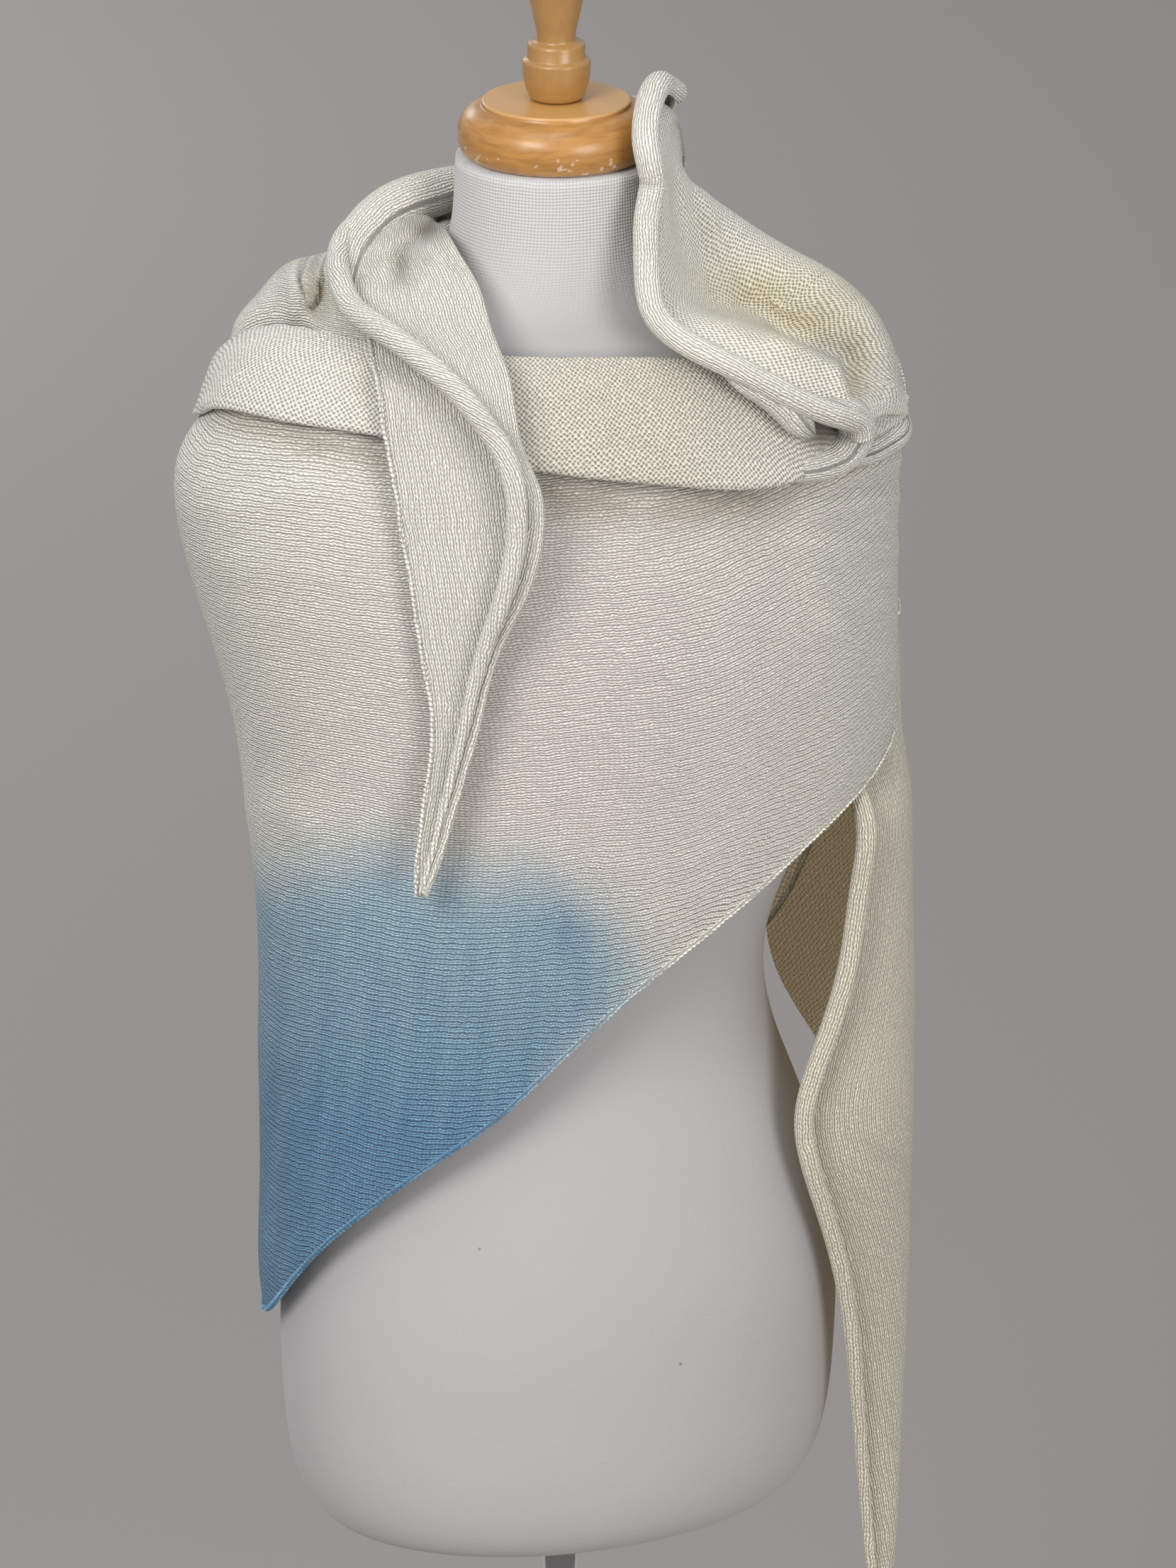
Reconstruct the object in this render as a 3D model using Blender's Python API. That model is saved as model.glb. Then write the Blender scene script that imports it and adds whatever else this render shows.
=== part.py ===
"""A knitted wrap with a dip-dyed corner, worn on a limbless dress form on a stand.

Sizes in the tables are millimetres. X is to the viewer's right, the viewer looks along +Y and
Z is up. The origin is on the floor, under the pole. Angles go round the form in its own frame:
0 is the viewer's right, 90 the back, 180 the viewer's left and 270 the front.
"""

import math

import bpy
import numpy as np

MM = 0.001
FORM_TURN = math.radians(20.0)
CLOTH_WALL = 2.0
SEAM_GAP = 0.3

POLE_RADIUS = 10.2
POLE_X = 1.0
BASE_RADIUS = 170.0
BASE_EDGE = 14.0
BASE_RISE = 24.0
TORSO_BOTTOM = 700.0
NECK_TOP = 1529.7
BUST_HEIGHT = 1256.0
BUST_SPREAD = 75.0
BUST_EXTRA = 8.6

# The dress form's oval sections, from the bottom edge to the top of the neck.
TORSO_COLUMNS = ("height", "half_width", "half_depth", "shift_x")
TORSO = (
    (TORSO_BOTTOM, 116, 72, 1),
    (703, 131, 87, 1),
    (712, 146, 100, 1),
    (728, 157, 108, 1),
    (752, 164, 113, 1),
    (790, 168, 116, 1),
    (835, 169, 118, 1),
    (875, 166, 117, 1),
    (915, 158, 113, 0),
    (955, 146, 106, 0),
    (992, 132, 97, 0),
    (1030, 124, 92, 0),
    (1065, 127, 94, 0),
    (1110, 145, 102, 0),
    (1160, 158, 110, 0),
    (1210, 164, 118, 0),
    (1250, 166, 121, 0),
    (1290, 168, 118, 0),
    (1330, 174, 109, 0),
    (1365, 178, 98, 0),
    (1392, 170, 88, 0),
    (1415, 148, 78, 0),
    (1435, 118, 69, 0),
    (1452, 90, 63, 0),
    (1470, 69, 59, 0),
    (1492, 60, 57, 0),
    (1512, 58, 57, 0),
    (NECK_TOP, 57, 57, 0),
)

# Turned wooden cap and finial: radius and height above the floor.
CAP_PROFILE = (
    (0, 1530), (50, 1530), (53.4, 1533), (55.4, 1538), (55.9, 1544), (54.6, 1550),
    (50.5, 1555.5), (44.5, 1558.6), (41.8, 1559.2), (41.4, 1561.6), (0, 1562),
)
FINIAL_PROFILE = (
    (0, 1562.3), (14.0, 1562.3), (16.6, 1567), (18.6, 1573), (19.3, 1580), (19.1, 1585), (17.4, 1586),
    (16.4, 1587.5), (16.0, 1591), (16.2, 1594.5), (14.6, 1596.5), (10.9, 1598), (12.2, 1606),
    (14.6, 1617), (17.4, 1629), (19.2, 1641), (19.0, 1650), (15.5, 1658), (9.0, 1663), (0, 1665),
)

# The worn cloth's rings: how far each reaches to the viewer's left and right, and its half depths.
RING_COLUMNS = ("height", "left", "right", "front", "back")
RINGS = (
    (795, 163, 170, 127, 125),
    (848, 173, 178, 128, 125),
    (912, 174, 186, 126, 123),
    (1003, 173, 190, 121, 118),
    (1094, 173, 192, 119, 117),
    (1148, 177, 194, 122, 119),
    (1196, 183, 196, 127, 123),
    (1256, 196, 197, 131, 125),
    (1313, 211, 197, 127, 121),
    (1357, 216, 199, 116, 112),
    (1376, 211, 200, 109, 106),
    (1392, 200, 196, 103, 102),
    (1410, 190, 189, 96, 97),
    (1430, 180, 176, 88, 91),
    (1450, 160, 151, 80, 85),
    (1466, 130, 124, 76, 81),
    (1490, 95, 95, 73, 77),
    (1520, 78, 76, 71, 73),
)

# Lower edges of the front and back wings, and the upper edge of each, as heights round the form.
FRONT_HEM_COLUMNS = ("angle", "height")
FRONT_HEM = (
    (150, 822), (168, 824), (181, 842), (191, 868), (205, 906), (217, 934), (231, 965), (244, 993),
    (256, 1026), (267, 1055), (280, 1085), (294, 1113), (306, 1135), (316, 1149), (327, 1161), (342, 1174),
)
BACK_HEM_COLUMNS = ("angle", "height")
BACK_HEM = (
    (-17.6, 1246), (0, 1246), (10, 1222), (20, 1130), (30, 1052), (40, 1010), (60, 974), (90, 922), (120, 868),
    (150, 822),
)
BACK_TOP_COLUMNS = ("angle", "height")
BACK_TOP = (
    (-17.6, 1366), (-5, 1387), (-1, 1399), (4, 1416), (12, 1436), (20, 1450), (28, 1462), (38, 1474),
    (50, 1481), (90, 1483), (118, 1468), (133, 1457), (146, 1443), (150, 1437),
)

# The folded-out upper edge: heights of its top and bottom, and how far each stands off the ring.
BAND_COLUMNS = ("angle", "top", "bottom", "top_out", "belly_out", "bottom_out")
BAND = (
    (156, 1416, 1390, 7.0, 7.0, 5.0),
    (166, 1429, 1394, 7.0, 8.0, 5.5),
    (178, 1444, 1401, 7.5, 10.5, 8.0),
    (193, 1451, 1410, 8.0, 13.5, 13.0),
    (211, 1451, 1410, 8.5, 15.0, 14.5),
    (229, 1447, 1405, 8.5, 15.5, 15.0),
    (247, 1442, 1391, 8.5, 16.5, 16.0),
    (262, 1438, 1380, 9.0, 18.0, 17.0),
    (276, 1434, 1370, 9.0, 18.5, 17.0),
    (290, 1426, 1361, 9.0, 18.0, 16.0),
    (302, 1412, 1361, 9.0, 15.0, 14.0),
    (312, 1395, 1366, 7.5, 10.0, 10.0),
    (323, 1386, 1368, 7.0, 8.0, 8.0),
    (335, 1382, 1369, 7.0, 7.5, 6.5),
)
BAND_TUCK = 13.0
BAND_CURL = 4.0

# The stretch beside the neck on the right: its rolled edge, the hollow behind it and its ridge.
COLLAR_COLUMNS = ("edge", "swell", "valley", "ridge", "back")
COLLAR = (
    ((67, 36, 1557), (71, 39, 1547), (75, 43, 1535), (79, 48, 1521), (84, 53, 1505)),
    ((65, 12, 1566), (70, 17, 1556), (75, 25, 1545), (79, 33, 1532), (84, 43, 1514)),
    ((54, -24, 1570), (63, -16, 1562), (69, -3, 1553), (75, 15, 1542), (82, 36, 1520)),
    ((51, -42, 1554), (60, -32, 1550), (66, -10, 1542), (73, 14, 1534), (80, 38, 1514)),
    ((54, -47, 1533), (61, -36, 1528), (68, 0, 1516), (79, 28, 1511), (84, 50, 1492)),
    ((52, -53, 1511), (61, -44, 1506), (76, 2, 1492), (98, 38, 1487), (99, 60, 1470)),
    ((50, -64, 1485), (62, -52, 1479), (90, -4, 1467), (118, 44, 1470), (121, 66, 1453)),
    ((53, -77, 1460), (69, -62, 1459), (105, -12, 1454), (137, 46, 1458), (141, 68, 1440)),
    ((73, -87, 1448), (91, -68, 1451), (123, -18, 1445), (157, 44, 1447), (162, 66, 1427)),
    ((105, -87, 1438), (120, -68, 1443), (145, -24, 1436), (178, 38, 1430), (183, 58, 1409)),
    ((135, -78, 1421), (147, -60, 1427), (163, -26, 1422), (189, 30, 1413), (192, 50, 1392)),
    ((156, -65, 1400), (165, -50, 1407), (173, -26, 1406), (196, 22, 1394), (198, 42, 1377)),
    ((163, -58, 1391), (171, -44, 1395), (178, -24, 1396), (197, 14, 1386.8), (198, 33, 1377.8)),
)
COLLAR_ROLL = 6.8
ROLL_TURN = math.radians(300)
ROLL_TIGHTENING = 0.42
TAIL_ROLL_ROWS = 14

# The fold over the left shoulder: its lip is the crescent that closes the pocket.
SHOULDER_COLUMNS = ("front", "brow", "crest", "back")
SHOULDER = (
    ((-182.7, -25, 1408), (-184.7, -14, 1410), (-184.7, -2, 1408), (-181.4, 12, 1402)),
    ((-176, -30, 1425), (-180, -22, 1434), (-181, -8, 1434), (-177, 9, 1424)),
    ((-164, -37, 1433), (-168, -29, 1449), (-169, -14, 1451), (-164, 12, 1439)),
    ((-150, -45, 1437), (-156, -35, 1459), (-157, -18, 1465), (-151, 20, 1450)),
    ((-138, -53, 1438), (-146, -41, 1464), (-145, -18, 1471), (-138, 26, 1457)),
    ((-133, -65, 1439), (-136, -46, 1456), (-135, -19, 1469), (-126, 32, 1463)),
    ((-127, -74, 1444), (-126, -50, 1456), (-124, -20, 1469), (-113, 38, 1468)),
    ((-114, -78, 1447), (-113, -54, 1458), (-111, -22, 1468), (-99, 44, 1471)),
)

# The short free end: the rolled edge, the folded edge and the loose edge beneath.
TAIL_COLUMNS = ("roll", "fold", "loose")
TAIL = (
    ((-56, 58, 1511), (-69, 55, 1492), (-58, 56, 1498)),
    ((-68, 42, 1509), (-74, 34, 1491), (-64, 38, 1486)),
    ((-83, 22, 1507), (-71, 0, 1492), (-84, 4, 1483)),
    ((-101, 2, 1502), (-62, -34, 1493), (-95, -18, 1481)),
    ((-115, -20, 1494), (-59, -48, 1490), (-102, -36, 1475)),
    ((-121, -46, 1483), (-55, -60, 1484), (-106, -54, 1466)),
    ((-119, -78, 1471), (-47, -76, 1473), (-107, -82, 1462)),
    ((-110, -106, 1462), (-41, -98, 1459), (-103, -106, 1448.5)),
    ((-93, -130, 1457), (-35, -116, 1448), (-100, -123, 1438)),
    ((-75, -146, 1448), (-30, -130, 1437), (-97, -134, 1429)),
    ((-56, -156, 1434), (-27, -141, 1422), (-95, -139, 1412)),
    ((-38, -160, 1413), (-22, -148, 1404), (-92, -141, 1396)),
    ((-26, -165, 1387), (-13, -156, 1382), (-88, -145, 1372)),
    ((-24, -166, 1360), (-12, -160, 1358), (-85, -147, 1352)),
    ((-28, -167, 1334), (-17, -162, 1332), (-81, -150, 1329)),
    ((-41, -162, 1291), (-35, -160, 1289), (-75, -152, 1287)),
    ((-51, -160, 1249), (-45, -158, 1247), (-69, -152, 1245)),
    ((-61, -156, 1201), (-56, -154, 1199), (-73, -150, 1198)),
    ((-71, -152, 1158), (-67, -151, 1156), (-78, -148, 1156)),
    ((-74, -151, 1141), (-71, -150, 1140), (-78, -149, 1140)),
)

# The long free end, a strip folded in two: rolled front edge, outer fold and loose back edge.
SIDE_COLUMNS = ("roll", "middle", "outer", "behind", "back")
SIDE = (
    ((166, 14, 1242), (182, 32, 1242), (196, 51, 1242), (193, 77, 1242), (179, 102, 1242)),
    ((163, 9, 1200), (182, 30, 1200), (198.5, 52, 1200), (191, 82, 1200), (168, 111, 1200)),
    ((159.8, 5.0, 1168), (180.3, 25.3, 1168), (200, 51, 1168), (190, 84, 1168), (160, 115, 1168)),
    ((173, -11, 1140), (191, 8, 1140), (205, 44, 1140), (189, 86, 1140), (152, 119, 1140)),
    ((173, -17, 1103), (194, 3, 1103), (207, 40, 1103), (186, 88, 1103), (140, 123, 1103)),
    ((166, -24, 1050), (191, -4, 1050), (208, 37, 1050), (180, 88, 1050), (127, 127, 1050)),
    ((156, -30, 1012), (187, -10, 1012), (209, 35, 1012), (177, 84, 1012), (125, 124, 1012)),
    ((147, -36, 985), (183, -16, 985), (209, 33, 985), (180, 78, 985), (134, 112, 985)),
    ((142, -40, 960), (181, -20, 960), (209, 31, 960), (188, 70, 960), (152, 92, 960)),
    ((145, -40, 935), (183, -19, 935), (209, 30, 935), (195, 58, 935), (168, 72, 935)),
    ((156, -33, 895), (187, -14, 895), (208, 28, 895), (198, 48, 895), (176, 58, 895)),
    ((168, -22, 840), (191, -7, 840), (207, 25, 840), (198, 40, 840), (180, 46, 840)),
    ((176, -9, 770), (194, 1, 770), (205, 22, 770), (198, 32, 770), (184, 36, 770)),
    ((182, 0, 700), (195, 6, 700), (203, 18, 700), (198, 25, 700), (188, 28, 700)),
    ((188, 4, 640), (195, 7, 640), (200, 14, 640), (198, 19, 640), (192, 21, 640)),
    ((192, 6, 606), (195, 7, 606), (197, 11, 606), (196, 14, 606), (193, 15, 606)),
)
SIDE_ROLL = 6.5

# Behind the neck: its rolled upper edge and its lower seam, from the right round to the left.
NECK_BACK_COLUMNS = ("top", "middle", "bottom")
NECK_BACK = (
    ((67, 37.5, 1556.4), (75, 44.5, 1534.4), (84, 54.5, 1504.4)),
    ((56, 55, 1550), (61, 65, 1522), (67, 76, 1493)),
    ((30, 69, 1541), (33, 79, 1513), (36, 88, 1488)),
    ((0, 74, 1533), (0, 83, 1510), (0, 92, 1489)),
    ((-28, 69, 1524), (-32, 78, 1506), (-36, 87, 1487)),
    ((-46, 60, 1516), (-53, 68, 1499), (-60, 76, 1481)),
)


def smooth(knots, rows, places):
    """Natural cubic spline through rows at knots, read at places."""
    knots = np.asarray(knots, float)
    rows = np.asarray(rows, float)
    places = np.asarray(places, float)
    shape = rows.shape
    rows = rows.reshape(len(knots), -1)
    step = np.diff(knots)
    slope = np.diff(rows, axis=0) / step[:, None]
    system = np.eye(len(knots))
    right = np.zeros_like(rows)
    for i in range(1, len(knots) - 1):
        system[i, i - 1:i + 2] = step[i - 1], 2 * (step[i - 1] + step[i]), step[i]
        right[i] = 6 * (slope[i] - slope[i - 1])
    bend = np.linalg.solve(system, right)
    flat = places.reshape(-1)
    low = np.clip(np.searchsorted(knots, flat, side="right") - 1, 0, len(knots) - 2)
    gap = step[low][:, None]
    before = (knots[low + 1] - flat)[:, None] / gap
    after = 1 - before
    bent = (before ** 3 - before) * bend[low] + (after ** 3 - after) * bend[low + 1]
    value = before * rows[low] + after * rows[low + 1] + bent * gap ** 2 / 6
    return value.reshape(places.shape + shape[1:])


def column_at(table, places):
    """Every column but the first of a table, read at places of the first."""
    return smooth([row[0] for row in table], [row[1:] for row in table], places)


def turned(x, y):
    """A point of the form's own frame, turned to where its front faces."""
    c = math.cos(FORM_TURN)
    s = math.sin(FORM_TURN)
    return x * c - y * s, x * s + y * c


def oval(half_width, half_depth, angle, out=0.0):
    """A point of an ellipse, moved out along its normal."""
    c = np.cos(np.radians(angle))
    s = np.sin(np.radians(angle))
    normal = np.hypot(half_depth * c, half_width * s)
    return half_width * c + out * half_depth * c / normal, half_depth * s + out * half_width * s / normal


def ring_point(angle, height, out=0.0):
    """A point of the worn cloth's ring at a height and angle, moved out."""
    angle, height, out = np.broadcast_arrays(*(np.asarray(item, float) for item in (angle, height, out)))
    left, right, front, back = np.moveaxis(column_at(RINGS, height), -1, 0)
    c = np.cos(np.radians(angle))
    s = np.sin(np.radians(angle))
    wide_left = np.sqrt(left ** 2 - (back * math.sin(FORM_TURN)) ** 2) / math.cos(FORM_TURN)
    wide_right = np.sqrt(right ** 2 - (front * math.sin(FORM_TURN)) ** 2) / math.cos(FORM_TURN)
    x, y = oval(np.where(c > 0, wide_right, wide_left), np.where(s > 0, back, front), angle, out)
    x, y = turned(x, y)
    return np.stack([x, y, height], -1)


def unit(vectors):
    return vectors / np.maximum(np.linalg.norm(vectors, axis=-1, keepdims=True), 1e-9)


def normals(grid):
    """Normals of a grid of points, from its rows and columns."""
    along = np.gradient(grid, axis=0)
    across = np.gradient(grid, axis=1)
    return unit(np.cross(along, across))


def chord_knots(points):
    """Distance along a row of points."""
    steps = np.linalg.norm(np.diff(points, axis=0), axis=-1)
    return np.concatenate([[0.0], np.cumsum(steps)])


def along_rows(table, count):
    """A table of named points, read at count even stations along its length."""
    points = np.asarray(table, float)
    knots = chord_knots(points.mean(axis=1))
    return smooth(knots, points, np.linspace(0, knots[-1], count))


def across_columns(stations, count):
    """Each station's points joined by a smooth curve with count points."""
    rows = []
    for points in stations:
        knots = chord_knots(points)
        rows.append(smooth(knots, points, np.linspace(0, knots[-1], count)))
    return np.array(rows)


def square_to(vectors, others):
    """The part of each vector that is square to its other."""
    return unit(vectors - (vectors * others).sum(-1, keepdims=True) * others)


def eased(vectors, times):
    """Directions along a path, evened out with their neighbours."""
    for _ in range(times):
        ahead = np.concatenate([vectors[1:], vectors[-1:]])
        behind = np.concatenate([vectors[:1], vectors[:-1]])
        vectors = unit(behind + 2 * vectors + ahead)
    return vectors


def roll_points(edge, outward, towards, radius, turn, count):
    """A rolled edge: an arc that leaves the sheet at edge, goes outward and curls towards a side."""
    path = unit(np.gradient(edge, axis=0))
    outward = square_to(outward, path)
    facing = np.cross(path, outward)
    side = np.sign((facing * towards).sum(-1, keepdims=True))
    facing = (facing * side)[:, None]
    share = np.linspace(0, 1, count + 1)[1:]
    angles = np.reshape(turn, (-1, 1)) * share
    radius = np.reshape(radius, (-1, 1, 1))
    reach = radius * (1 - ROLL_TIGHTENING * share)[None, :, None]
    swing = np.sin(angles)[:, :, None] * outward[:, None]
    lift = -np.cos(angles)[:, :, None] * facing
    return edge[:, None] + radius * facing + reach * (swing + lift)


def band_tuck(angles):
    """How far the front wing goes up behind the folded edge."""
    top, bottom = np.moveaxis(column_at(BAND, np.clip(angles, BAND[0][0], BAND[-1][0])), -1, 0)[:2]
    return np.minimum(BAND_TUCK, 0.4 * (top - bottom)), bottom


def front_panel_grid(across, up):
    angles = np.linspace(FRONT_HEM[0][0], FRONT_HEM[-1][0], across)
    hem = column_at(FRONT_HEM, angles)[:, 0]
    tuck, bottom = band_tuck(angles)
    top = bottom + tuck
    share = np.linspace(0, 1, up)[:, None]
    return ring_point(angles[None, :], hem[None, :] + share * (top - hem)[None, :])


def back_panel_grid(across, up):
    angles = np.linspace(BACK_HEM[0][0], BACK_HEM[-1][0] - 0.4, across)
    hem = column_at(BACK_HEM, angles)[:, 0]
    top = column_at(BACK_TOP, angles)[:, 0]
    share = np.linspace(0, 1, up)[:, None]
    return ring_point(angles[None, :], hem[None, :] + share * (top - hem)[None, :])


def band_grid(stations, across):
    """The folded edge: up the inside, over the top, down the outside and curled under."""
    angles = np.linspace(BAND[0][0], BAND[-1][0], stations)
    rows = []
    for angle, values in zip(angles, column_at(BAND, angles)):
        top, bottom, top_out, belly_out, bottom_out = values
        deep = top - bottom
        tuck = float(band_tuck(angle)[0])
        curl = min(BAND_CURL, 0.16 * deep, (bottom_out - 2.6) / 1.8)
        bend = math.radians(100) * min(1.0, max(0.0, (bottom_out - 5.0) / 6.0))
        under = (bottom_out - curl * math.sin(bend), bottom - curl * math.cos(bend))
        end = (under[0] - curl * math.sin(1.9 * bend), under[1] - curl * math.cos(1.9 * bend))
        profile = (
            (0.0, bottom + tuck + 1.5),
            (0.2 * top_out, top - 0.22 * deep),
            (0.3 * top_out, top - 0.08 * deep),
            (0.7 * top_out, top),
            (1.15 * top_out, top - 0.07 * deep),
            (0.5 * (top_out + belly_out) + 1.5, top - 0.26 * deep),
            (belly_out, bottom + 0.45 * deep),
            (bottom_out + 0.6 * curl, bottom + 0.14 * deep),
            (bottom_out, bottom),
            under,
            end,
        )
        profile = np.array(profile)
        knots = chord_knots(profile)
        curve = smooth(knots, profile, np.linspace(0, knots[-1], across))
        rows.append(ring_point(angle, curve[:, 1], curve[:, 0]))
    return np.array(rows)


def rolled_sheet(stations, across, roll, turn, roll_count, towards):
    """A sheet across the stations' points, with a roll at the first of them."""
    grid = across_columns(stations, across)
    outward = unit(grid[:, 0] - grid[:, 1])
    curl = roll_points(grid[:, 0], outward, towards, roll, turn, roll_count)
    return np.concatenate([curl[:, ::-1], grid], axis=1)


def collar_grid(along, across, roll_count):
    stations = along_rows(COLLAR, along)
    fade = np.linspace(1.0, 0.8, along)
    towards = np.array((0.6, -0.6, 0.5))
    return rolled_sheet(stations, across, COLLAR_ROLL * fade, ROLL_TURN, roll_count, towards)


def neck_back_grid(along, across, roll_count):
    stations = along_rows(NECK_BACK, along)
    towards = unit(stations[:, 0] * (1, 1, 0))
    radius = np.linspace(COLLAR_ROLL, 5.0, along)
    return rolled_sheet(stations, across, radius, ROLL_TURN, roll_count, towards)


def shoulder_grid(along, across):
    return across_columns(along_rows(SHOULDER, along), across)


def tail_grid(along, across):
    """The short end's single layer, from its loose left edge to the fold at its right."""
    fold, loose = np.moveaxis(along_rows([row[1:] for row in TAIL[3:]], along), 1, 0)
    over = fold - loose
    width = np.linalg.norm(over, axis=-1, keepdims=True)
    inset = np.interp(np.linspace(0, 1, along), (0, 0.15), (2.3, 1.5))[:, None]
    share = np.linspace(0, 1, across)[None, :, None] * (1 - inset / width)[:, None]
    facing = square_to(unit(fold * (1, 1, 0)), over / width)
    belly = np.minimum(0.05 * width, 3.0)[:, None] * np.sin(share * math.pi) * facing[:, None]
    return loose[:, None] + share * over[:, None] + belly


def tail_roll_grid(along, across, fold_count, roll_count):
    """The layer that folds over the short end, from the fold at its right to its rolled edge."""
    roll, fold = np.moveaxis(along_rows([row[:2] for row in TAIL[:TAIL_ROLL_ROWS]], along), 1, 0)
    lift = np.linspace(0, 1, along)
    share = np.linspace(0, 1, across)[None, :, None]
    over = unit(fold - roll)
    upward = np.interp(lift, (0, 0.4, 0.7), (0.9, 0.5, 0.0))[:, None] * np.array((0, 0, 1))
    facing = square_to(unit(fold * (1, 1, 0)) + upward, over)
    radius = np.interp(lift, (0, 0.8, 1), (3.4, 3.2, 2.4))[:, None]
    bend = np.linspace(math.radians(30), math.pi, fold_count)[None, :, None]
    arc = np.sin(bend) * over[:, None] - np.cos(bend) * facing[:, None]
    turn_over = (fold + radius * facing)[:, None] + radius[:, None] * arc
    start = turn_over[:, -1]
    gap = roll - start
    width = np.linalg.norm(gap, axis=-1, keepdims=True)
    swell = np.minimum(0.05 * width, 3.0)[:, None] * np.sin(share * math.pi) * facing[:, None]
    front = start[:, None] + share * gap[:, None] + swell
    radius = np.interp(lift, (0, 0.3, 0.7, 1), (5.0, 6.4, 6.0, 3.2))
    turn = np.interp(lift, (0, 0.15, 0.35, 0.85, 1), np.radians((150, 170, 300, 300, 240)))
    curl = roll_points(front[:, -1], eased(-over, 4), eased(facing, 4), radius, turn, roll_count)
    return np.concatenate([turn_over[:, :-1], front, curl], axis=1)


def side_grid(along, across, roll_count):
    """The long end: a rolled front edge, an outer fold and a loose back edge."""
    share = np.linspace(0, 1, along)
    radius = np.interp(share, (0, 0.5, 0.9, 1), (SIDE_ROLL, SIDE_ROLL, 3.4, 3.0))
    turn = np.interp(share, (0, 0.8, 1), np.radians((300, 300, 180)))
    towards = np.array((0.3, -1.0, 0.0))
    return rolled_sheet(along_rows(SIDE, along), across, radius, turn, roll_count, towards)


def add_object(name, vertices, faces, material, is_smooth=True):
    mesh = bpy.data.meshes.new(name)
    mesh.from_pydata([tuple(v) for v in np.asarray(vertices) * MM], [], faces)
    mesh.materials.append(material)
    mesh.validate()
    if is_smooth:
        mesh.shade_smooth()
        mesh.set_sharp_from_angle(angle=math.radians(40))
    item = bpy.data.objects.new(name, mesh)
    bpy.context.collection.objects.link(item)
    return item


def split_quad(points, a, b, c, d):
    """Two triangles for a quad, cut along its shorter diagonal."""
    if np.linalg.norm(points[a] - points[c]) <= np.linalg.norm(points[b] - points[d]):
        return [(a, b, c), (a, c, d)]
    return [(a, b, d), (b, c, d)]


def signed_volume(points, faces):
    corners = points[np.array(faces)]
    return np.einsum("ij,ij->i", corners[:, 0], np.cross(corners[:, 1], corners[:, 2])).sum() / 6


def add_cloth(name, grid, material, wall=CLOTH_WALL):
    """A closed wall on both sides of a grid of points."""
    rows, columns = grid.shape[:2]
    side = normals(grid) * wall / 2
    points = np.concatenate([(grid + side).reshape(-1, 3), (grid - side).reshape(-1, 3)])
    under = rows * columns

    def at(row, column, below=False):
        return row * columns + column + (under if below else 0)

    faces = []
    for i in range(rows - 1):
        for j in range(columns - 1):
            top = (at(i, j), at(i + 1, j), at(i + 1, j + 1), at(i, j + 1))
            low = (at(i, j, True), at(i, j + 1, True), at(i + 1, j + 1, True), at(i + 1, j, True))
            faces += split_quad(points, *top) + split_quad(points, *low)
    border = [(i, 0) for i in range(rows)] + [(rows - 1, j) for j in range(1, columns)]
    border += [(i, columns - 1) for i in range(rows - 2, -1, -1)] + [(0, j) for j in range(columns - 2, 0, -1)]
    for (i, j), (k, m) in zip(border, border[1:] + border[:1]):
        faces += split_quad(points, at(i, j), at(i, j, True), at(k, m, True), at(k, m))
    if signed_volume(points, faces) < 0:
        faces = [face[::-1] for face in faces]
    return add_object(name, points, faces, material)


def add_rings(name, rings, material):
    """A closed solid through a stack of rings, with a flat cap at each end."""
    count = len(rings[0])
    points = np.concatenate(list(rings) + [[rings[0].mean(axis=0)], [rings[-1].mean(axis=0)]])
    low = len(rings) * count
    faces = []
    for i in range(len(rings) - 1):
        for j in range(count):
            k = (j + 1) % count
            faces += split_quad(points, i * count + j, i * count + k, (i + 1) * count + k, (i + 1) * count + j)
    last = (len(rings) - 1) * count
    for j in range(count):
        k = (j + 1) % count
        faces += [(low, k, j), (low + 1, last + j, last + k)]
    return add_object(name, points, faces, material)


def add_turned(name, profile, centre, sides, material):
    """A turned solid: a profile of radius and height, whose ends are on the axis."""
    angles = np.linspace(0, 2 * math.pi, sides, endpoint=False)
    rings = []
    for radius, height in profile[1:-1]:
        ring = np.stack([centre + radius * np.cos(angles), radius * np.sin(angles), np.full(sides, float(height))], -1)
        rings.append(ring)
    return add_rings(name, rings, material)


def add_torso(material):
    sides = 36
    angles = np.linspace(0, 360, sides, endpoint=False)
    rings = []
    for height, half_width, half_depth, shift in TORSO:
        bust = BUST_EXTRA * math.exp(-((height - BUST_HEIGHT) / BUST_SPREAD) ** 2)
        depth = np.where(angles > 180, half_depth + bust, half_depth)
        x, y = turned(*oval(half_width, depth, angles))
        rings.append(np.stack([x + shift, y, np.full(sides, float(height))], -1))
    return add_rings("torso", rings, material)


def add_material(name, colour, roughness, metallic=0.0):
    material = bpy.data.materials.new(name)
    material.use_nodes = True
    shader = material.node_tree.nodes["Principled BSDF"]
    shader.inputs["Base Color"].default_value = (*colour, 1.0)
    shader.inputs["Roughness"].default_value = roughness
    shader.inputs["Metallic"].default_value = metallic
    material.diffuse_color = (*colour, 1.0)
    return material


def remove_objects():
    for item in list(bpy.data.objects):
        bpy.data.objects.remove(item, do_unlink=True)


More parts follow.
